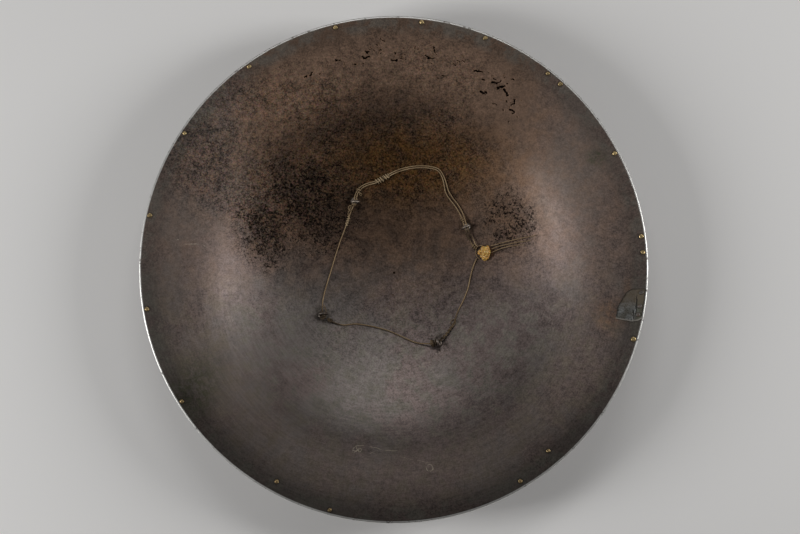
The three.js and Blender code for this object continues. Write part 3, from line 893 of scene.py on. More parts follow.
# %% Patina and stain
sides = hollow.band(hollow.maths("ABSOLUTE", across), 0.10, 0.16, 1.0, 0.3)
brown_share = hollow.maths("ADD", hollow.times(upper_half, sides, 0.9), hollow.times(flange, 0.28))
brown_share = hollow.maths("ADD", brown_share, hollow.band(radius, 0.09, 0.01, 0.0, 0.17))
brown_share = hollow.maths("ADD", brown_share, hollow.band(mottle, 0.35, 0.68, -0.14, 0.14), clamp=True)
colour = hollow.mix(hollow.band(broad, 0.42, 0.58), GREY_STEEL, MAUVE_STEEL)
colour = hollow.mix(hollow.times(lower_half, hollow.band(mottle, 0.46, 0.62, 0, 0.8)), colour, GREEN_GREY)
colour = hollow.mix(brown_share, colour, BROWN_STEEL)
rim_tone = hollow.times(hollow.band(radius, 0.207, 0.217), hollow.band(mottle, 0.4, 0.6))
colour = hollow.mix(hollow.times(rim_tone, 0.6), colour, GREEN_GREY)
colour = hollow.mix(hollow.times(stain, hollow.band(mottle, 0.3, 0.6, 0.6, 0.95)), colour, OILY_BROWN)

# %% [markdown]
# Close up the skin is a crowd of grains: rust, soot, dark pepper, pale specks. They could be scattered
# one by one, but a threshold on a fine cloud gives ragged grains of every size at once. One mask says how
# lively the grain is at each place, because the bowl is rough above and smooth and bright below.

# %% How lively the grain is, grains of rust, soot and specks
LIVELY_PLACES = [
    # x, y, half sizes in millimetres and how much livelier
    (-125, 108, 110, 95, 0.75), (0, -35, 100, 105, 0.25), (0, 165, 125, 60, 0.55),
    (-110, -105, 75, 70, -0.3),
]
lively = hollow.maths("ADD", hollow.band(broad, 0.4, 0.6, 0.42, 0.62), hollow.times(stain, 0.8))
lively = hollow.maths("ADD", lively, hollow.times(soot_field, 0.7))
for x, y, wide, high, share in LIVELY_PLACES:
    place_mask = hollow.blot(x, y, wide, high, 0, 0.4, 1.0, loose)
    lively = hollow.maths("ADD", lively, hollow.times(place_mask, share))
rust = hollow.band(hollow.cloud(1.9 * MM, 5, 0.8), 0.5, 0.6)
rust = hollow.times(rust, hollow.band(lively, 0.75, 1.5, 0.05, 0.55))
colour = hollow.mix(rust, colour, RUST_BROWN)

speckle = hollow.cloud(2.4 * MM, 4, 0.75)
patchy = hollow.band(hollow.cloud(9 * MM, 4, 0.65), 0.36, 0.62, -0.06, 0.05)
soot_edge = hollow.maths("SUBTRACT", hollow.maths("SUBTRACT", 0.61, hollow.times(soot_field, 0.14)), patchy)
soot = hollow.band(hollow.maths("SUBTRACT", speckle, soot_edge), -0.02, 0.035)
soot = hollow.times(soot, hollow.band(soot_field, 0.0, 0.45), hollow.band(grit, 0.5, 0.62, 1.0, 0.45))
colour = hollow.mix(hollow.times(soot, 0.95), colour, SOOT_BLACK)

pepper = hollow.band(hollow.cloud(1.3 * MM, 3, 0.7), 0.57, 0.68)
pepper = hollow.times(pepper, hollow.band(lively, 0.5, 1.5, 0.3, 1.0))
colour = hollow.mix(hollow.times(pepper, 0.55), colour, (0.03, 0.022, 0.017, 1))

rubbed_place = hollow.maths("MAXIMUM", hollow.blot(-52, -92, 46, 36, -20, 0.1, 1.0, loose),
                            hollow.blot(38, -84, 54, 28, 10, 0.1, 1.0, loose))
pale_place = hollow.maths(
    "MAXIMUM", hollow.times(rubbed_place, 0.45), hollow.band(lively, 0.8, 1.6, 0.05, 0.3)
)
pale = hollow.times(hollow.band(hollow.cloud(1.7 * MM, 5, 0.8), 0.57, 0.68), pale_place)
colour = hollow.mix(pale, colour, PALE_SPECK)

olive = hollow.maths("MAXIMUM", hollow.blot(-180, -112, 36, 62, -30, 0.2, 1.0, loose),
                     hollow.blot(181, 99, 13, 10, 0, 0.2, 1.0, loose))
colour = hollow.mix(hollow.times(olive, hollow.band(grain, 0.4, 0.6, 0.2, 0.85)), colour, OLIVE_RUST)

patch_rust = hollow.maths("MAXIMUM", hollow.blot(191, -40, 24, 26, 0, 0.1, 1.0, loose),
                          hollow.times(hollow.blot(206, -14, 8, 12, 0, 0.1, 1.0, loose), 0.8))
patch_rust = hollow.times(patch_rust, hollow.band(grain, 0.38, 0.62, 0.2, 0.6))
colour = hollow.mix(patch_rust, colour, (0.27, 0.150, 0.085, 1))


def nearest(nodes):
    """The distance to the nearest of some fastenings."""
    result = None
    for name in nodes:
        low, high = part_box(name)
        away = hollow.node(
            "ShaderNodeVectorMath", {0: hollow.place, 1: (low + high) / 2}, operation="DISTANCE"
        ).outputs["Value"]
        result = away if result is None else hollow.maths("MINIMUM", result, away)
    return result


# Dark rings on the plate round the feet of the rivets and eyes: partly grime, partly painted shade.
rivet_reach = nearest([f"rim_rivet_{i + 1:02d}" for i in range(18)])
rivet_grime_and_shade = hollow.band(rivet_reach, 2.2 * MM, 4.2 * MM, 0.35, 0.0)
eye_reach = nearest([f"grip_eye_{i + 1}" for i in range(4)])
eye_reach = hollow.maths("ADD", eye_reach, hollow.band(grain, 0.3, 0.7, -3 * MM, 3 * MM))
eye_grime_and_shade = hollow.band(eye_reach, 4 * MM, 10 * MM, 0.5, 0.0)
colour = hollow.mix(hollow.maths("MAXIMUM", rivet_grime_and_shade, eye_grime_and_shade), colour, (0.035, 0.026, 0.018, 1))

# %% [markdown]
# Some scratches and a few small curls are scribed into the lower flange, and a punch mark sits in the
# middle. Each is the distance to a listed line or ring. The place is warped a little first, so
# that nothing looks ruled, and a cloud breaks the line up as wear does.

# %% Scratches, curls and the centre mark
SCRATCHES = [
    # start, end, width in millimetres and strength
    ((-37.5, -157.2), (-22, -157.3), 0.5, 0.8), ((-24, -157.2), (-8, -161.3), 0.55, 1.0),
    ((-10, -161.2), (6.5, -161.8), 0.5, 0.9), ((-23.5, -164.8), (-14.5, -161.3), 0.45, 0.6),
    ((-16, -161.4), (-9.5, -162.2), 0.45, 0.5), ((3, -166.0), (20, -170.2), 0.5, 0.6),
    ((17, -169.4), (32, -172.5), 0.45, 0.45), ((18.8, -174.5), (18.9, -179), 0.5, 0.6),
    ((-187.5, 20.9), (-171.5, 21.6), 0.6, 0.9), ((-192.5, 25.2), (-189.8, 24.6), 0.7, 0.8),
    ((-171, 21.3), (-164.5, 18.0), 0.5, 0.5),
    ((-150, -60), (-128, -84), 0.35, 0.25), ((60, -140), (96, -126), 0.35, 0.25),
    ((120, -30), (150, -52), 0.35, 0.25), ((-100, -10), (-84, -44), 0.35, 0.25),
    ((-30, 20), (34, 8), 0.3, 0.2),
]
CURLS = [(-34.0, -160.3, 1.9, 0.55, 1.0), (-30.0, -160.9, 1.5, 0.5, 0.8), (-35.5, -162.5, 1.2, 0.5, 0.6),
         (31.7, -176.8, 2.9, 0.6, 0.7)]
wavy = hollow.ragged(7 * MM, 0.9 * MM)
marks = [
    hollow.times(hollow.scratch(start, end, width, wavy), share) for start, end, width, share in SCRATCHES
]
curly = hollow.ragged(3.2 * MM, 1.5 * MM)
marks += [hollow.times(hollow.ring(x, y, size, width, curly), share) for x, y, size, width, share in CURLS]
broken_up = hollow.band(hollow.cloud(2.4 * MM, 3, 0.6), 0.36, 0.52, 0.25, 1.0)
scratches = hollow.times(hollow.most(marks), broken_up)
colour = hollow.mix(hollow.times(scratches, 0.85), colour, (0.62, 0.54, 0.42, 1))
centre_mark = hollow.maths("MAXIMUM", hollow.blot(0.2, -0.7, 1.4, 1.4, 0, 0.3),
                           hollow.times(hollow.blot(-0.7, -20.7, 1.4, 1.2, 0, 0.2), 0.4))

# %% [markdown]
# Last comes how light the steel is. Grains of three sizes vary it, some places are rubbed lighter or
# grimed darker, one lighter place in the lower right is a painted highlight, and the soot and the lower
# flange dim it. Then the pits are blackened and the worn edge is bared, and the same masks set how
# metallic, how glossy and how bumpy the surface is.

# %% Tone, pits and the bare edge
speck_and_highlight_tone = hollow.band(grit, 0.37, 0.63, -0.4, 0.4)
speck_and_highlight_tone = hollow.maths("ADD", speck_and_highlight_tone, hollow.band(grain, 0.34, 0.66, -0.27, 0.27))
speck_and_highlight_tone = hollow.maths("ADD", speck_and_highlight_tone, hollow.band(mottle, 0.3, 0.7, -0.2, 0.2))
streak_tone = hollow.times(lower_half, hollow.band(streak, 0.35, 0.68, -0.08, 0.11))
speck_and_highlight_tone = hollow.maths("ADD", hollow.times(speck_and_highlight_tone, lively), streak_tone)
# The first place, lighter in the lower right, is a painted highlight that widens the bright reflection band
# there.
TONE_AND_HIGHLIGHT_PLACES = [
    # x, y, half sizes in millimetres and how much lighter or darker the steel is there
    (85, -55, 60, 46, 0.32), (-92, -8, 44, 34, -0.2), (8, -8, 58, 42, 0.2), (0, 78, 98, 44, -0.17),
    (-60, -72, 42, 32, -0.08), (-150, 92, 60, 60, -0.1), (-178, 96, 52, 74, -0.25), (192, 6, 34, 104, -0.16),
]
for x, y, wide, high, share in TONE_AND_HIGHLIGHT_PLACES:
    place_mask = hollow.blot(x, y, wide, high, 0, 0.1, 1.0, loose)
    speck_and_highlight_tone = hollow.maths("ADD", speck_and_highlight_tone, hollow.times(place_mask, share))
tone = hollow.times(
    hollow.maths("MAXIMUM", hollow.maths("ADD", speck_and_highlight_tone, 1.0), 0.15),
    hollow.maths("SUBTRACT", 1.0, hollow.times(soot_field, 0.57)),
    hollow.maths("SUBTRACT", 1.0, hollow.times(bottom_flange, 0.45)),
    hollow.band(radius, 0.198, 0.217, 1.0, 0.68),
)
colour = hollow.node("ShaderNodeVectorMath", {0: colour, "Scale": tone}, operation="SCALE").outputs[0]

tint = hollow.cloud(2 * MM, 3, 0.7, output="Color")
tint = hollow.node("ShaderNodeVectorMath", {0: tint, 1: (0.5, 0.5, 0.5)}, operation="SUBTRACT").outputs[0]
tint_reach = hollow.band(lively, 0.6, 1.8, 0.05, 1.1)
tint = hollow.node("ShaderNodeVectorMath", {0: tint, "Scale": tint_reach}, operation="SCALE").outputs[0]
tint = hollow.node("ShaderNodeVectorMath", {0: tint, 1: (1, 1, 1)}, operation="ADD").outputs[0]
colour = hollow.node("ShaderNodeVectorMath", {0: colour, 1: tint}, operation="MULTIPLY").outputs[0]

pit = hollow.node("ShaderNodeAttribute", attribute_name="pit_depth").outputs["Fac"]
pit = hollow.maths("MAXIMUM", pit, centre_mark)
pit_lip = hollow.times(hollow.band(pit, 0.0, 0.12), hollow.band(pit, 0.12, 0.4, 1.0, 0.0))
colour = hollow.mix(hollow.times(pit_lip, 0.35), colour, RUST_BROWN)
colour = hollow.mix(hollow.band(pit, 0.2, 0.52), colour, PIT_BLACK)

edge_from = RIM_RADIUS - EDGE_WIDTH
edge = hollow.band(radius, edge_from - 0.3 * MM, edge_from + 0.3 * MM)
edge = hollow.times(edge, hollow.band(hollow.cloud(6 * MM, 4, 0.7), 0.28, 0.45))
colour = hollow.mix(edge, colour, BARE_STEEL)

upper_flange = hollow.times(flange, upper_half)
dull = hollow.maths("ADD", hollow.times(flange, 0.3), hollow.times(upper_flange, 0.45), clamp=True)
dull = hollow.times(dull, hollow.maths("SUBTRACT", 1.0, edge))
matt = hollow.maths("ADD", hollow.times(soot, 0.5), hollow.times(pit, 0.8))
matt = hollow.maths("ADD", matt, dull, clamp=True)
metal = hollow.maths("SUBTRACT", 0.95, hollow.times(dull, 0.6))
metal = hollow.most([metal, hollow.band(pit, 0.2, 0.5), soot])  # black metal: no light glances off it
gloss = hollow.maths("ADD", hollow.band(mottle, 0.3, 0.7, 0.36, 0.43), hollow.times(matt, 0.16))
gloss = hollow.maths("ADD", gloss, hollow.times(hollow.band(grit, 0.3, 0.7, -0.05, 0.06), lively))
gloss = hollow.maths("ADD", gloss, hollow.times(stain, 0.06))

normal = hollow.relief(mottle, 0.12 * MM, 0.5)
normal = hollow.relief(grain, 0.04 * MM, hollow.times(lively, 0.6), normal)
normal = hollow.relief(hollow.most([pepper, soot, hollow.times(scratches, 0.6)]), -0.05 * MM, 0.7, normal)
normal = hollow.relief(fine, 0.012 * MM, 0.6, normal)
hollow.surface(base_color=colour, metallic=metal, roughness=gloss, normal=normal)
print("hollow side:", len(hollow.tree.nodes), "nodes")

# %% [markdown]
# The front lies on the table and is plainer: the same steel under an even brown skin, darker in the
# hammer's dents, with the bare edge. Faces that look down take it.

# %% Finish of the front side
front = Finish("old_steel_front_side")
front_mottle = front.cloud(16 * MM, 5, 0.6)
front_grain = front.cloud(2.4 * MM, 5, 0.65)
FRONT_GREY = (0.15, 0.12, 0.105, 1)
FRONT_BROWN = (0.105, 0.072, 0.052, 1)
front_colour = front.mix(front.band(front_mottle, 0.3, 0.7), FRONT_GREY, FRONT_BROWN)
front_pepper = front.band(front.cloud(1.6 * MM, 4, 0.7), 0.62, 0.72)
front_colour = front.mix(front.times(front_pepper, 0.7), front_colour, SOOT_BLACK)
front_rust = front.band(front.cloud(40 * MM, 4, 0.6), 0.5, 0.7)
front_rust = front.times(front_rust, front.band(front_grain, 0.4, 0.6))
front_colour = front.mix(front.times(front_rust, 0.4), front_colour, RUST_BROWN)
front_split = front.node("ShaderNodeSeparateXYZ", {0: front.place})
front_flat = front.node("ShaderNodeCombineXYZ", {0: front_split.outputs[0], 1: front_split.outputs[1]})
front_radius = front.node("ShaderNodeVectorMath", {0: front_flat.outputs[0]}, operation="LENGTH")
front_edge = front.band(front_radius.outputs["Value"], RIM_RADIUS - 1.2 * MM, RIM_RADIUS - 0.6 * MM)
front_colour = front.mix(front_edge, front_colour, BARE_STEEL)
front_normal = front.relief(front_mottle, 0.12 * MM, 0.5)
front_normal = front.relief(front_grain, 0.05 * MM, 0.6, front_normal)
front_normal = front.relief(front_pepper, -0.06 * MM, 0.7, front_normal)
front.surface(
    base_color=front_colour, metallic=0.85, roughness=front.band(front_grain, 0.3, 0.7, 0.4, 0.56),
    normal=front_normal,
)

plate.data.materials.append(hollow.material)
plate.data.materials.append(front.material)
for polygon in plate.data.polygons:
    polygon.material_index = 1 if polygon.normal.z < 0 else 0
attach(plate, "root")
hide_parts("shield_plate")
print("front side:", len(front.tree.nodes), "nodes")

# %% [markdown]
# Every fastening stands square to the plate. Its seat is a frame on the hollow side with Z along the
# plate's normal and X outward. A piece is modelled upright at the origin and its mesh is then moved to
# its seat.

# %% Seats of the fastenings
EYES = [
    # radius, angle from +X, the way the ring faces; millimetres and degrees
    (77.3, 31.4, 22), (73.2, 119.0, -4), (76.0, 211.4, 5), (76.4, 301.7, 104),
]


def seat_matrix(radius, angle):
    place = Vector((radius * math.cos(angle), radius * math.sin(angle), height_at(radius)))
    turn = Matrix.Rotation(angle, 4, "Z")
    return Matrix.Translation(place) @ turn @ Matrix.Rotation(-slope_at(radius), 4, "Y")


def seat_of_node(node, depth):
    """The seat of a rivet, from its box in the model. Its middle lies so deep under the hollow side."""
    low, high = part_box(node)
    middle = (low + high) / 2
    radius = math.hypot(middle.x, middle.y)
    return seat_matrix(radius - depth * math.sin(slope_at(radius)), math.atan2(middle.y, middle.x))


def placed_copy(master, name, matrix):
    """A copy of a piece with its own mesh, moved to its place in the mesh."""
    copy = master.copy()
    copy.data = master.data.copy()
    copy.name = name
    bpy.context.scene.collection.objects.link(copy)
    copy.data.transform(matrix)
    return copy


def discard(master):
    mesh = master.data
    bpy.data.objects.remove(master)
    bpy.data.meshes.remove(mesh)


def own(piece, finish, slot, *nodes):
    """Give a finished piece its material and its body, and hide the nodes that it stands for. The slot is
    not used.
    """
    piece.data.materials.clear()
    piece.data.materials.append(finish)
    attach(piece, "root")
    if nodes:
        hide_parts(*nodes)


print("eye seats:", [tuple(round(c / MM, 1) for c in seat_matrix(r * MM, math.radians(a)).translation)
                     for r, a, _ in EYES])

# %% [markdown]
# The rivets are brass pins, headed on the front and hammered over on the hollow side. One is turned from
# its outline, roughed by a small cloud so that it looks struck, and copied. Each copy is turned about its
# own axis and given its own size, so that no two look alike.

# %% Model one rivet and copy it
RIVET_HEAD = 2.6 * MM
RIVET_SHANK = 1.1 * MM
RIVET_END = 2.0 * MM
RIVET_STEPS = 28


def rivet_outline(lift):
    """The outline of a rivet from head to hammered end, lifted by what lies on the plate."""
    head_top, foot = -PLATE_THICKNESS, lift
    head = [
        (RIVET_HEAD * math.sin(a), head_top - 1.3 * MM * math.cos(a))
        for a in (math.pi / 2 * i / 7 for i in range(8))
    ]
    end = [
        (RIVET_END, foot), (RIVET_END * 1.04, foot + 0.14 * MM), (RIVET_END * 0.97, foot + 0.38 * MM),
        (RIVET_END * 0.82, foot + 0.62 * MM), (RIVET_END * 0.6, foot + 0.78 * MM),
        (RIVET_END * 0.36, foot + 0.84 * MM), (RIVET_END * 0.16, foot + 0.82 * MM), (0, foot + 0.81 * MM),
    ]
    return [Vector((x, 0, z)) for x, z in [*head, (RIVET_SHANK, head_top), (RIVET_SHANK, foot), *end]]


def make_rivet(name, lift):
    rivet = spin_outline(name, rivet_outline(lift), RIVET_STEPS)
    pick(rivet)
    displace(rivet, "struck", 0.5 * MM, cloud_texture("struck", 2.2 * MM, 2), direction="NORMAL")
    bpy.ops.object.shade_smooth()
    return rivet


brass = Finish("dulled_brass")
brass_along = brass.node("ShaderNodeSeparateXYZ", {0: brass.place}).outputs[1]
# The rivets are made darker towards the bottom of the shield, and a slow cloud adds tarnish.
low_side = brass.band(brass_along, -0.06, -0.15, 0.0, 0.8)
tarnish_and_low_darkening = brass.maths("MAXIMUM", brass.band(brass.cloud(30 * MM, 2), 0.45, 0.65, 0, 0.6), low_side)
brass_colour = brass.mix(tarnish_and_low_darkening, (0.72, 0.54, 0.27, 1), (0.27, 0.185, 0.09, 1))
brass_dirt = brass.band(brass.cloud(0.9 * MM, 4, 0.7), 0.5, 0.62)
brass_colour = brass.mix(brass.times(brass_dirt, 0.7), brass_colour, (0.06, 0.04, 0.022, 1))
brass.surface(
    base_color=brass_colour, metallic=0.9, roughness=brass.blend(brass_dirt, 0.33, 0.6),
    normal=brass.relief(brass.cloud(0.6 * MM, 4, 0.6), 0.08 * MM, 0.6),
)

RIM_RIVET_COUNT = 18
RIM_RIVET_DEPTH = 1.25 * MM
rivet_master = make_rivet("rivet_master", 0)
for i in range(RIM_RIVET_COUNT):
    node = f"rim_rivet_{i + 1:02d}"
    own_size = Matrix.Diagonal(
        (dice.uniform(0.82, 1.05), dice.uniform(0.82, 1.05), dice.uniform(0.95, 1.1), 1)
    )
    matrix = seat_of_node(node, RIM_RIVET_DEPTH) @ Matrix.Rotation(dice.uniform(0, 2 * math.pi), 4, "Z")
    rivet = placed_copy(rivet_master, node + "_finished", matrix @ own_size)
    own(rivet, brass.material, "rivet_brass", node)
discard(rivet_master)
print("rim rivets:", RIM_RIVET_COUNT)

# %% [markdown]
# Eyes, bosses and patch rivets share one recipe: nearly black scale with brown rust in the low places,
# rubbed to bare grey on top. The lie of the surface says where: what looks up and stands free is paler,
# partly from wear and partly as a painted highlight, and what looks down is blackened as painted shade.
# Three settings make the rubbed eyes, the even bosses and the dull rivets from it.

# %% Finish of the iron
def forge_iron(name, wear_and_highlight, down_face_shade, metal=0.8):
    """Dark scaled iron. Tops are rubbed bright by one share, partly wear and partly a painted highlight, and
    faces that look down are blackened as painted shade by another.
    """
    made = Finish(name)
    scale_cloud = made.cloud(6 * MM, 5, 0.6)
    scale_grain = made.cloud(0.9 * MM, 5, 0.65)
    tone = made.mix(made.band(scale_cloud, 0.35, 0.65), (0.075, 0.066, 0.06, 1), (0.14, 0.12, 0.105, 1))
    rusty = made.band(made.cloud(2.2 * MM, 5, 0.7), 0.5, 0.64)
    tone = made.mix(made.times(rusty, 0.65), tone, (0.13, 0.07, 0.038, 1))
    holes = made.band(made.cloud(0.7 * MM, 4, 0.7), 0.6, 0.72)
    tone = made.mix(made.times(holes, 0.7), tone, SOOT_BLACK)
    facing = made.node("ShaderNodeTexCoord").outputs["Normal"]
    upward = made.node("ShaderNodeSeparateXYZ", {0: facing}).outputs[2]
    far_along = made.node("ShaderNodeSeparateXYZ", {0: made.place}).outputs[1]
    # Painted highlight, partly wear: faces that look up are made pale, most on pieces in the upper half.
    worn_and_lit_top = made.times(made.band(upward, 0.45, 0.9), made.band(scale_grain, 0.35, 0.6, 0.5, 1.0),
                        made.band(far_along, -0.02, 0.01, 0.15 * wear_and_highlight, wear_and_highlight))
    # Painted shade: faces that look down are blackened.
    tone = made.mix(made.times(made.band(upward, 0.35, -0.1), down_face_shade), tone, SOOT_BLACK)
    tone = made.mix(worn_and_lit_top, tone, (0.42, 0.36, 0.30, 1))
    bumps = made.relief(scale_cloud, 0.2 * MM, 0.4)
    bumps = made.relief(scale_grain, 0.1 * MM, 0.5, bumps)
    bumps = made.relief(holes, -0.1 * MM, 0.6, bumps)
    made.surface(base_color=tone, metallic=metal, roughness=made.blend(rusty, 0.42, 0.68), normal=bumps)
    return made


iron = forge_iron("dark_forged_iron", wear_and_highlight=1.0, down_face_shade=0.7)
boss_iron = forge_iron("dark_forged_boss_iron", wear_and_highlight=0.0, down_face_shade=0.0)
rivet_iron = forge_iron("dark_rivet_iron", wear_and_highlight=0.0, down_face_shade=0.8, metal=0.25)
print("iron:", len(iron.tree.nodes), "nodes")

# %% [markdown]
# Each eye is a forged ring on a collar, with a shank through the plate. A torus and a turned stem are
# joined, and a voxel remesh melts them into one skin with a smooth root, as a forge weld does. Clouds
# rough it.

# %% Model one eye and copy it
EYE_RING_RADIUS = 3.6 * MM
EYE_WIRE_RADIUS = 1.1 * MM
COLLAR_RADIUS = 3.4 * MM
COLLAR_TOP = 1.5 * MM
SHANK_RADIUS = 2 * MM
SHANK_FOOT = -11 * MM
RING_MIDDLE = COLLAR_TOP + EYE_RING_RADIUS + EYE_WIRE_RADIUS - 0.5 * MM
EYE_VOXEL = 0.24 * MM


def join(name, pieces):
    """Join several objects into one and name it."""
    deselect_all()
    for piece in pieces:
        piece.select_set(True)
    bpy.context.view_layer.objects.active = pieces[0]
    bpy.ops.object.join()
    pieces[0].name = name
    return pieces[0]


def melt(piece, voxel, rounds=2):
    """Remesh a piece into one even skin and smooth it a little. Returns its face count."""
    pick(piece)
    modifier = piece.modifiers.new("melt", "REMESH")
    modifier.mode = "VOXEL"
    modifier.voxel_size = voxel
    bpy.ops.object.modifier_apply(modifier="melt")
    modifier = piece.modifiers.new("soften", "SMOOTH")
    modifier.factor = 0.5
    modifier.iterations = rounds
    bpy.ops.object.modifier_apply(modifier="soften")
    return len(piece.data.polygons)


def mark_crevices(piece, full):
    """Keep on each vertex how far it lies below its neighbours, from 0 to 1 at a full depth in metres."""
    mesh = piece.data
    sums = [Vector() for _ in mesh.vertices]
    counts = [0] * len(mesh.vertices)
    for first, second in (edge.vertices for edge in mesh.edges):
        sums[first] += mesh.vertices[second].co
        sums[second] += mesh.vertices[first].co
        counts[first] += 1
        counts[second] += 1
    crevice = mesh.attributes.new("crevice", "FLOAT", "POINT")
    for i, vertex in enumerate(mesh.vertices):
        sunk = (sums[i] / max(counts[i], 1) - vertex.co).dot(vertex.normal)
        crevice.data[i].value = min(1, max(0, sunk / full))


stem = spin_outline("stem", [Vector((x * MM, 0, z * MM)) for x, z in [
    (0, -11), (1.7, -11), (2, -10.6), (2, 0), (3.5, -0.1), (3.45, 0.5), (3.2, 1.0), (2.7, 1.4),
    (1.8, 1.6), (0, 1.7),
]], 32)
deselect_all()
bpy.ops.mesh.primitive_torus_add(
    major_radius=EYE_RING_RADIUS, minor_radius=EYE_WIRE_RADIUS, major_segments=48, minor_segments=16,
    location=(0, 0, RING_MIDDLE), rotation=(math.pi / 2, 0, 0),
)
ring = bpy.context.object
bpy.ops.object.transform_apply(location=True, rotation=True, scale=True)
eye_master = join("eye_master", [stem, ring])
eye_faces = melt(eye_master, EYE_VOXEL)
displace(eye_master, "forged", 0.45 * MM, cloud_texture("forged", 3.2 * MM, 2), direction="NORMAL")
bpy.ops.object.shade_smooth()
for i, (radius_mm, angle, ring_turn) in enumerate(EYES):
    node = f"grip_eye_{i + 1}"
    matrix = seat_matrix(radius_mm * MM, math.radians(angle))
    matrix = matrix @ Matrix.Rotation(math.radians(ring_turn - angle), 4, "Z")
    eye = placed_copy(eye_master, node + "_finished", matrix)
    own(eye, iron.material, "iron", node)
discard(eye_master)
print("eye:", eye_faces, "faces")

# %% [markdown]
# Four domed bosses on the front hold the shanks, and the shield lies on them. A dome is turned from an
# arc. Its foot is inside the plate's thickness, so no gap shows. The plane of the table then cuts the
# small worn flat on which it rests. Each is a little different in height, because each stands on its own
# seat.

# %% Model the bosses
BOSS_SPHERE = 26 * MM
BOSS_WEAR = 0.7 * MM
BOSS_FOOT = -1.0 * MM
BOSS_ROWS = 26
BOSS_STEPS = 80
for i, (radius_mm, angle, _) in enumerate(EYES):
    node = f"front_boss_{i + 1}"
    matrix = seat_matrix(radius_mm * MM, math.radians(angle))
    middle = (BOSS_SPHERE - BOSS_WEAR - matrix.translation.z) / math.cos(slope_at(radius_mm * MM))
    half_angle = math.acos((middle - BOSS_FOOT) / BOSS_SPHERE)
    dome = [
        Vector((BOSS_SPHERE * math.sin(a), 0, middle - BOSS_SPHERE * math.cos(a)))
        for a in (half_angle * row / BOSS_ROWS for row in range(BOSS_ROWS + 1))
    ]
    boss = spin_outline(node + "_finished", [*dome, Vector((0, 0, BOSS_FOOT))], BOSS_STEPS)
    boss.data.transform(matrix)
    pick(boss)
    displace(boss, "beaten", 0.4 * MM, cloud_texture(f"beaten_{i}", 9 * MM, 2), direction="NORMAL")
    bpy.ops.object.mode_set(mode="EDIT")
    bpy.ops.mesh.select_all(action="SELECT")
    bpy.ops.mesh.bisect(
        plane_co=(0, 0, 0), plane_no=(0, 0, 1), use_fill=True, clear_inner=True, threshold=0.001 * MM
    )
    bpy.ops.object.mode_set(mode="OBJECT")
    bpy.ops.object.shade_smooth_by_angle(angle=math.radians(35))
    own(boss, boss_iron.material, "iron", node)
    print(node, len(boss.data.polygons), "faces, lowest", round(min(v.co.z for v in boss.data.vertices), 6))

# %% [markdown]
# A thin iron repair plate is riveted over a bad place at the edge. A fine grid is cut along the patch's
# straight sides, dropped on the plate by a Shrinkwrap, dented, and given its thickness by a Solidify. Its
# edge is ragged, so the cut line is pushed about a little first.

# %% Model the patch
PATCH_THICKNESS = 1 * MM
PATCH_GRID = 0.55 * MM
PATCH_DARK_EDGE = 1.5 * MM
patch_low, patch_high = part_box("edge_patch")
patch_side = RIM_RADIUS - 1.6 * MM
patch_outline = [Vector((x * MM, y * MM, 0)) for x, y in [(196.2, -45.4), (210.0, -48.2), (215.5, -47.4)]]
for angle in (-11.8, -9.5, -7.2, -4.9):
    patch_outline.append(
        patch_side * Vector((math.cos(math.radians(angle)), math.sin(math.radians(angle)), 0))
    )
patch_outline += [Vector((x * MM, y * MM, 0)) for x, y in [
    (210.3, -19.2), (206.0, -22.1), (203.3, -25.6), (199.8, -31.7), (198.0, -34.6),
]]
patch_size = patch_high - patch_low
patch_middle = (patch_low + patch_high) / 2
deselect_all()
bpy.ops.mesh.primitive_grid_add(
    x_subdivisions=round(patch_size.x / PATCH_GRID),
    y_subdivisions=round(patch_size.y / PATCH_GRID), size=1,
    location=(patch_middle.x, patch_middle.y, 2 * patch_high.z),
)
patch = bpy.context.object
patch.name = "edge_patch_finished"
patch.scale = (patch_size.x, patch_size.y, 1)
bpy.ops.object.transform_apply(location=True, rotation=True, scale=True)
bpy.ops.object.mode_set(mode="EDIT")
for a, b in zip(patch_outline, [*patch_outline[1:], patch_outline[0]]):
    bpy.ops.mesh.select_all(action="SELECT")
    outward = (b - a).cross(Vector((0, 0, 1))).normalized()
    bpy.ops.mesh.bisect(plane_co=a, plane_no=outward, clear_outer=True, threshold=0.01 * MM)
bpy.ops.object.mode_set(mode="OBJECT")
edge_near = patch.data.attributes.new("edge_near", "FLOAT", "POINT")
for vertex in patch.data.vertices:
    gaps = [(vertex.co - a).to_2d().dot(Vector((a.y - b.y, b.x - a.x)).normalized())
            for a, b in zip(patch_outline, [*patch_outline[1:], patch_outline[0]])]
    edge_near.data[vertex.index].value = max(0, 1 - min(abs(gap) for gap in gaps) / PATCH_DARK_EDGE)
displace(patch, "ragged_x", 0.9 * MM, cloud_texture("ragged_x", 2.6 * MM, 3), direction="X")
displace(patch, "ragged_y", 0.9 * MM, cloud_texture("ragged_y", 3.1 * MM, 3), direction="Y")
drop = patch.modifiers.new("drop", "SHRINKWRAP")
drop.target = plate
drop.wrap_method = "PROJECT"
drop.use_project_z = True
drop.use_negative_direction = True
drop.use_positive_direction = False
bpy.ops.object.modifier_apply(modifier="drop")
displace(patch, "dents", 0.7 * MM, cloud_texture("dents", 8 * MM, 2), middle=0.35)
wall = patch.modifiers.new("wall", "SOLIDIFY")
wall.thickness = PATCH_THICKNESS
wall.offset = 1
bpy.ops.object.modifier_apply(modifier="wall")
bpy.ops.object.shade_smooth_by_angle(angle=math.radians(40))
patch_top = max(v.co.z for v in patch.data.vertices)
print("patch:", len(patch.data.polygons), "faces, highest", round(patch_top, 5))

# %% [markdown]
# The patch is iron of another make, greyer than the plate and corroded: dark at its edges and along two
# creases, with olive rust at the rim. An attribute of its mesh tells how near the edge is. Its rivets
# have the shape of the brass ones, in dark iron.

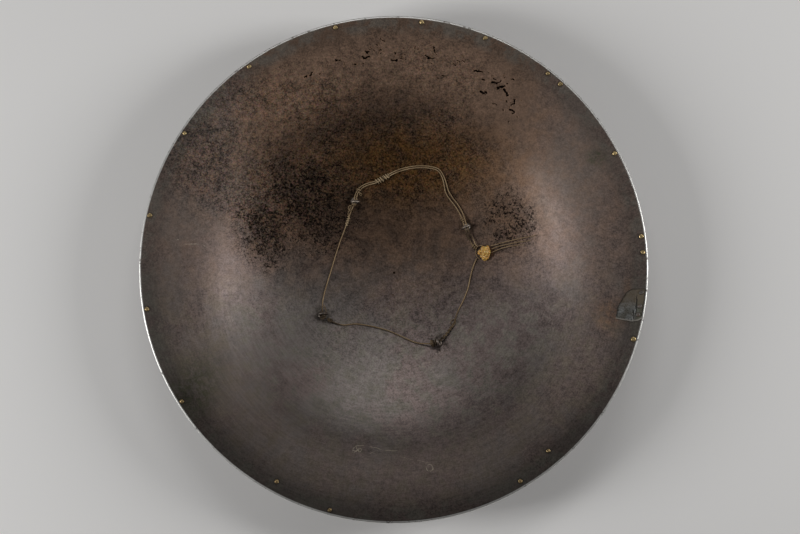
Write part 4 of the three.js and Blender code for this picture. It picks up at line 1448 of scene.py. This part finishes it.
# %% Finish of the patch, and its rivets
patch_iron = Finish("corroded_patch_iron")
patch_broad = patch_iron.cloud(9 * MM, 4)
patch_grain = patch_iron.cloud(1.3 * MM, 5, 0.7)
PATCH_PALE = (0.20, 0.205, 0.20, 1)
PATCH_DARK = (0.11, 0.105, 0.09, 1)
PATCH_SCALE = (0.035, 0.03, 0.022, 1)
patch_colour = patch_iron.mix(patch_iron.band(patch_broad, 0.4, 0.6), PATCH_PALE, PATCH_DARK)
patch_colour = patch_iron.mix(patch_iron.band(patch_grain, 0.45, 0.7), patch_colour, PATCH_SCALE)
patch_split = patch_iron.node("ShaderNodeSeparateXYZ", {0: patch_iron.place})
outer_part = patch_iron.band(patch_split.outputs[0], 0.2125, 0.2155)
patch_olive = patch_iron.times(outer_part, patch_iron.band(patch_grain, 0.35, 0.6, 0.3, 0.9))
patch_colour = patch_iron.mix(patch_olive, patch_colour, OLIVE_RUST)
upper_part = patch_iron.band(patch_split.outputs[1], -0.040, -0.026)
patch_colour = patch_iron.mix(patch_iron.times(upper_part, 0.75), patch_colour, (0.14, 0.105, 0.07, 1))
crease_place = patch_iron.ragged(4 * MM, 0.8 * MM)
crease = patch_iron.maths("MAXIMUM", patch_iron.scratch((215.0, -20), (213.0, -47), 2.0, crease_place),
                          patch_iron.scratch((212.0, -33), (210.6, -49), 1.5, crease_place))
patch_colour = patch_iron.mix(patch_iron.times(crease, 0.85), patch_colour, PIT_BLACK)
patch_near = patch_iron.node("ShaderNodeAttribute", attribute_name="edge_near").outputs["Fac"]
patch_colour = patch_iron.mix(patch_iron.times(patch_near, 0.85), patch_colour, PIT_BLACK)
# Painted highlight: the lower edge of the patch is made pale, as an edge that catches the light.
low_edge_highlight = patch_iron.times(patch_near, patch_iron.band(patch_split.outputs[1], -0.0430, -0.0455))
patch_colour = patch_iron.mix(low_edge_highlight, patch_colour, (0.36, 0.33, 0.29, 1))
patch_normal = patch_iron.relief(patch_broad, 0.3 * MM, 0.4)
patch_normal = patch_iron.relief(crease, -0.6 * MM, 0.7, patch_normal)
patch_normal = patch_iron.relief(patch_grain, 0.15 * MM, 0.6, patch_normal)
patch_iron.surface(
    base_color=patch_colour, metallic=patch_iron.blend(outer_part, 0.7, 0.3),
    roughness=patch_iron.blend(outer_part, 0.5, 0.72), normal=patch_normal,
)
own(patch, patch_iron.material, "iron", "edge_patch")

PATCH_RIVET_COUNT = 3
PATCH_RIVET_DEPTH = 0.6 * MM
patch_rivet_master = make_rivet("patch_rivet_master", PATCH_THICKNESS + 0.3 * MM)
for i in range(PATCH_RIVET_COUNT):
    node = f"patch_rivet_{i + 1:02d}"
    matrix = seat_of_node(node, PATCH_RIVET_DEPTH) @ Matrix.Rotation(dice.uniform(0, 2 * math.pi), 4, "Z")
    own(placed_copy(patch_rivet_master, node + "_finished", matrix), rivet_iron.material, "iron", node)
discard(patch_rivet_master)
print("patch rivets:", PATCH_RIVET_COUNT)

# %% [markdown]
# Old twine is tan on the plies. Painted shade makes it nearly black in the grooves between them, which the
# strand keeps as an attribute, and on the faces that look down. Wax and dirt darken it round the eyes,
# where hands and iron have rubbed it. In two places it is paler, partly cleaner thread and partly a painted
# highlight.

# %% Finish of the twine
twine = Finish("old_tan_twine")
twine_cloud = twine.cloud(9 * MM, 3)
twine_fibre = twine.cloud(0.35 * MM, 4, 0.7)
TAN_TWINE = (0.48, 0.335, 0.18, 1)
BROWN_TWINE = (0.31, 0.198, 0.098, 1)
twine_colour = twine.mix(twine.band(twine_cloud, 0.35, 0.65), TAN_TWINE, BROWN_TWINE)
twine_colour = twine.mix(twine.band(twine_fibre, 0.4, 0.65, 0, 0.5), twine_colour, (0.72, 0.57, 0.37, 1))
# Paler at two places: partly cleaner thread, partly a painted highlight on the wraps that stand proud.
clean_and_lit = twine.most([twine.blot(-9, 79, 17, 12, 35, 0.5), twine.blot(-40, 44, 6, 8)])
twine_colour = twine.mix(twine.times(clean_and_lit, 0.55), twine_colour, (0.86, 0.66, 0.40, 1))
# Painted shade: the grooves between the plies are darkened nearly to black.
groove = twine.node("ShaderNodeAttribute", attribute_name="ply_groove").outputs["Fac"]
twine_colour = twine.mix(twine.times(groove, 0.75), twine_colour, (0.06, 0.032, 0.016, 1))
SOILED_PLACES = [
    # x, y, half sizes in millimetres, angle, sharpness of the outline and how dark
    (40, -62, 13, 10, 50, 0.3, 1.0), (-54, -46, 13, 6, -15, 0.3, 1.0), (67, 32, 9, 9, 0, 0.3, 1.0),
    (-8, -52, 62, 18, -8, 0.5, 0.42), (52, -48, 22, 14, 50, 0.4, 0.75),
]
for radius_mm, angle, _ in EYES[2:]:
    eye_x = radius_mm * math.cos(math.radians(angle))
    eye_y = radius_mm * math.sin(math.radians(angle))
    SOILED_PLACES.append((eye_x, eye_y, 13, 13, 0, 0.2, 1.0))
soiled = twine.most([
    twine.times(twine.blot(x, y, wide, high, turn, inner), share)
    for x, y, wide, high, turn, inner, share in SOILED_PLACES
])
twine_colour = twine.mix(twine.times(soiled, 0.8), twine_colour, (0.03, 0.02, 0.013, 1))
# Painted shade: faces that look down, and more so those turned towards -Y, are darkened nearly to black.
twine_normal = twine.node(
    "ShaderNodeSeparateXYZ", {0: twine.node("ShaderNodeTexCoord").outputs["Normal"]}
)
underside_shade = twine.maths("ADD", twine_normal.outputs[2], twine.times(twine_normal.outputs[1], 0.25))
twine_colour = twine.mix(twine.band(underside_shade, 0.72, 0.2, 0, 0.92), twine_colour, (0.02, 0.012, 0.007, 1))
twine.shader.inputs["Specular IOR Level"].default_value = 0.25
twine.surface(
    base_color=twine_colour, roughness=0.85,
    normal=twine.relief(twine_fibre, 0.12 * MM, 0.8),
)
for strand in [twine_upper, twine_second, twine_lower, *tails, *ties.values()]:
    strand.data.materials.clear()
    strand.data.materials.append(twine.material)
print("twine finish on", 3 + len(tails) + len(ties), "pieces")

# %% [markdown]
# The lump of wax was pressed round the knot by hand and has hardened. Rounded lobes are joined, melted
# into one skin and roughed by two clouds, so that it keeps the folds of a pressed lump.

# %% Model the wax
WAX_LOBES = [
    # x, y, lift in millimetres, half sizes
    (83.0, 17.3, 4.8, (3.8, 5.0, 4.2)), (78.7, 16.6, 3.5, (2.9, 2.8, 2.9)),
    (82.4, 12.2, 3.3, (2.9, 2.9, 2.7)), (83.9, 20.2, 5.6, (2.3, 2.4, 2.4)),
    (80.9, 20.2, 4.6, (2.2, 2.2, 2.6)), (84.4, 14.6, 4.2, (2.0, 2.5, 2.5)),
    (79.6, 13.6, 2.8, (2.0, 1.8, 2.0)),
]
WAX_VOXEL = 0.3 * MM
lobes = []
for x, y, lift, size in WAX_LOBES:
    deselect_all()
    bpy.ops.mesh.primitive_uv_sphere_add(
        segments=24, ring_count=14, radius=1, location=on_plate(x, y, lift), scale=[c * MM for c in size]
    )
    bpy.ops.object.transform_apply(location=True, rotation=True, scale=True)
    lobes.append(bpy.context.object)
wax_lump = join("wax_seal_finished", lobes)
wax_faces = melt(wax_lump, WAX_VOXEL, 4)
displace(wax_lump, "pressed", 2.2 * MM, cloud_texture("pressed", 2.4 * MM, 2), direction="NORMAL")
displace(wax_lump, "pitted", 0.5 * MM, cloud_texture("pitted", 0.9 * MM, 2), direction="NORMAL")
mark_crevices(wax_lump, 0.03 * MM)
bpy.ops.object.shade_smooth()

wax = Finish("hardened_yellow_wax")
wax_cloud = wax.cloud(3 * MM, 4, 0.6)
wax_grain = wax.cloud(0.6 * MM, 4, 0.7)
wax_colour = wax.mix(wax.band(wax_cloud, 0.35, 0.65), (1.0, 0.66, 0.18, 1), (0.80, 0.41, 0.075, 1))
wax_colour = wax.mix(wax.band(wax_grain, 0.56, 0.7, 0, 0.6), wax_colour, (0.26, 0.12, 0.035, 1))
wax_dirt = wax.band(wax.cloud(1.8 * MM, 4, 0.7), 0.54, 0.64)
wax_colour = wax.mix(wax.times(wax_dirt, 0.6), wax_colour, (0.16, 0.07, 0.02, 1))
# Painted shade: vertices sunk below their neighbours are darkened nearly to black.
wax_crevice_shade = wax.node("ShaderNodeAttribute", attribute_name="crevice").outputs["Fac"]
wax_colour = wax.mix(wax.times(wax_crevice_shade, 0.9), wax_colour, (0.10, 0.035, 0.008, 1))
wax.shader.inputs["Subsurface Weight"].default_value = 0.25
wax.shader.inputs["Coat Weight"].default_value = 0.5
wax.shader.inputs["Coat Roughness"].default_value = 0.25
wax.shader.inputs["Subsurface Radius"].default_value = (0.002, 0.001, 0.0004)
wax.surface(base_color=wax_colour, roughness=wax.band(wax_cloud, 0.3, 0.7, 0.36, 0.55),
            normal=wax.relief(wax_grain, 0.15 * MM, 0.6))
own(wax_lump, wax.material, "wax", "wax_seal")
print("wax:", wax_faces, "faces")
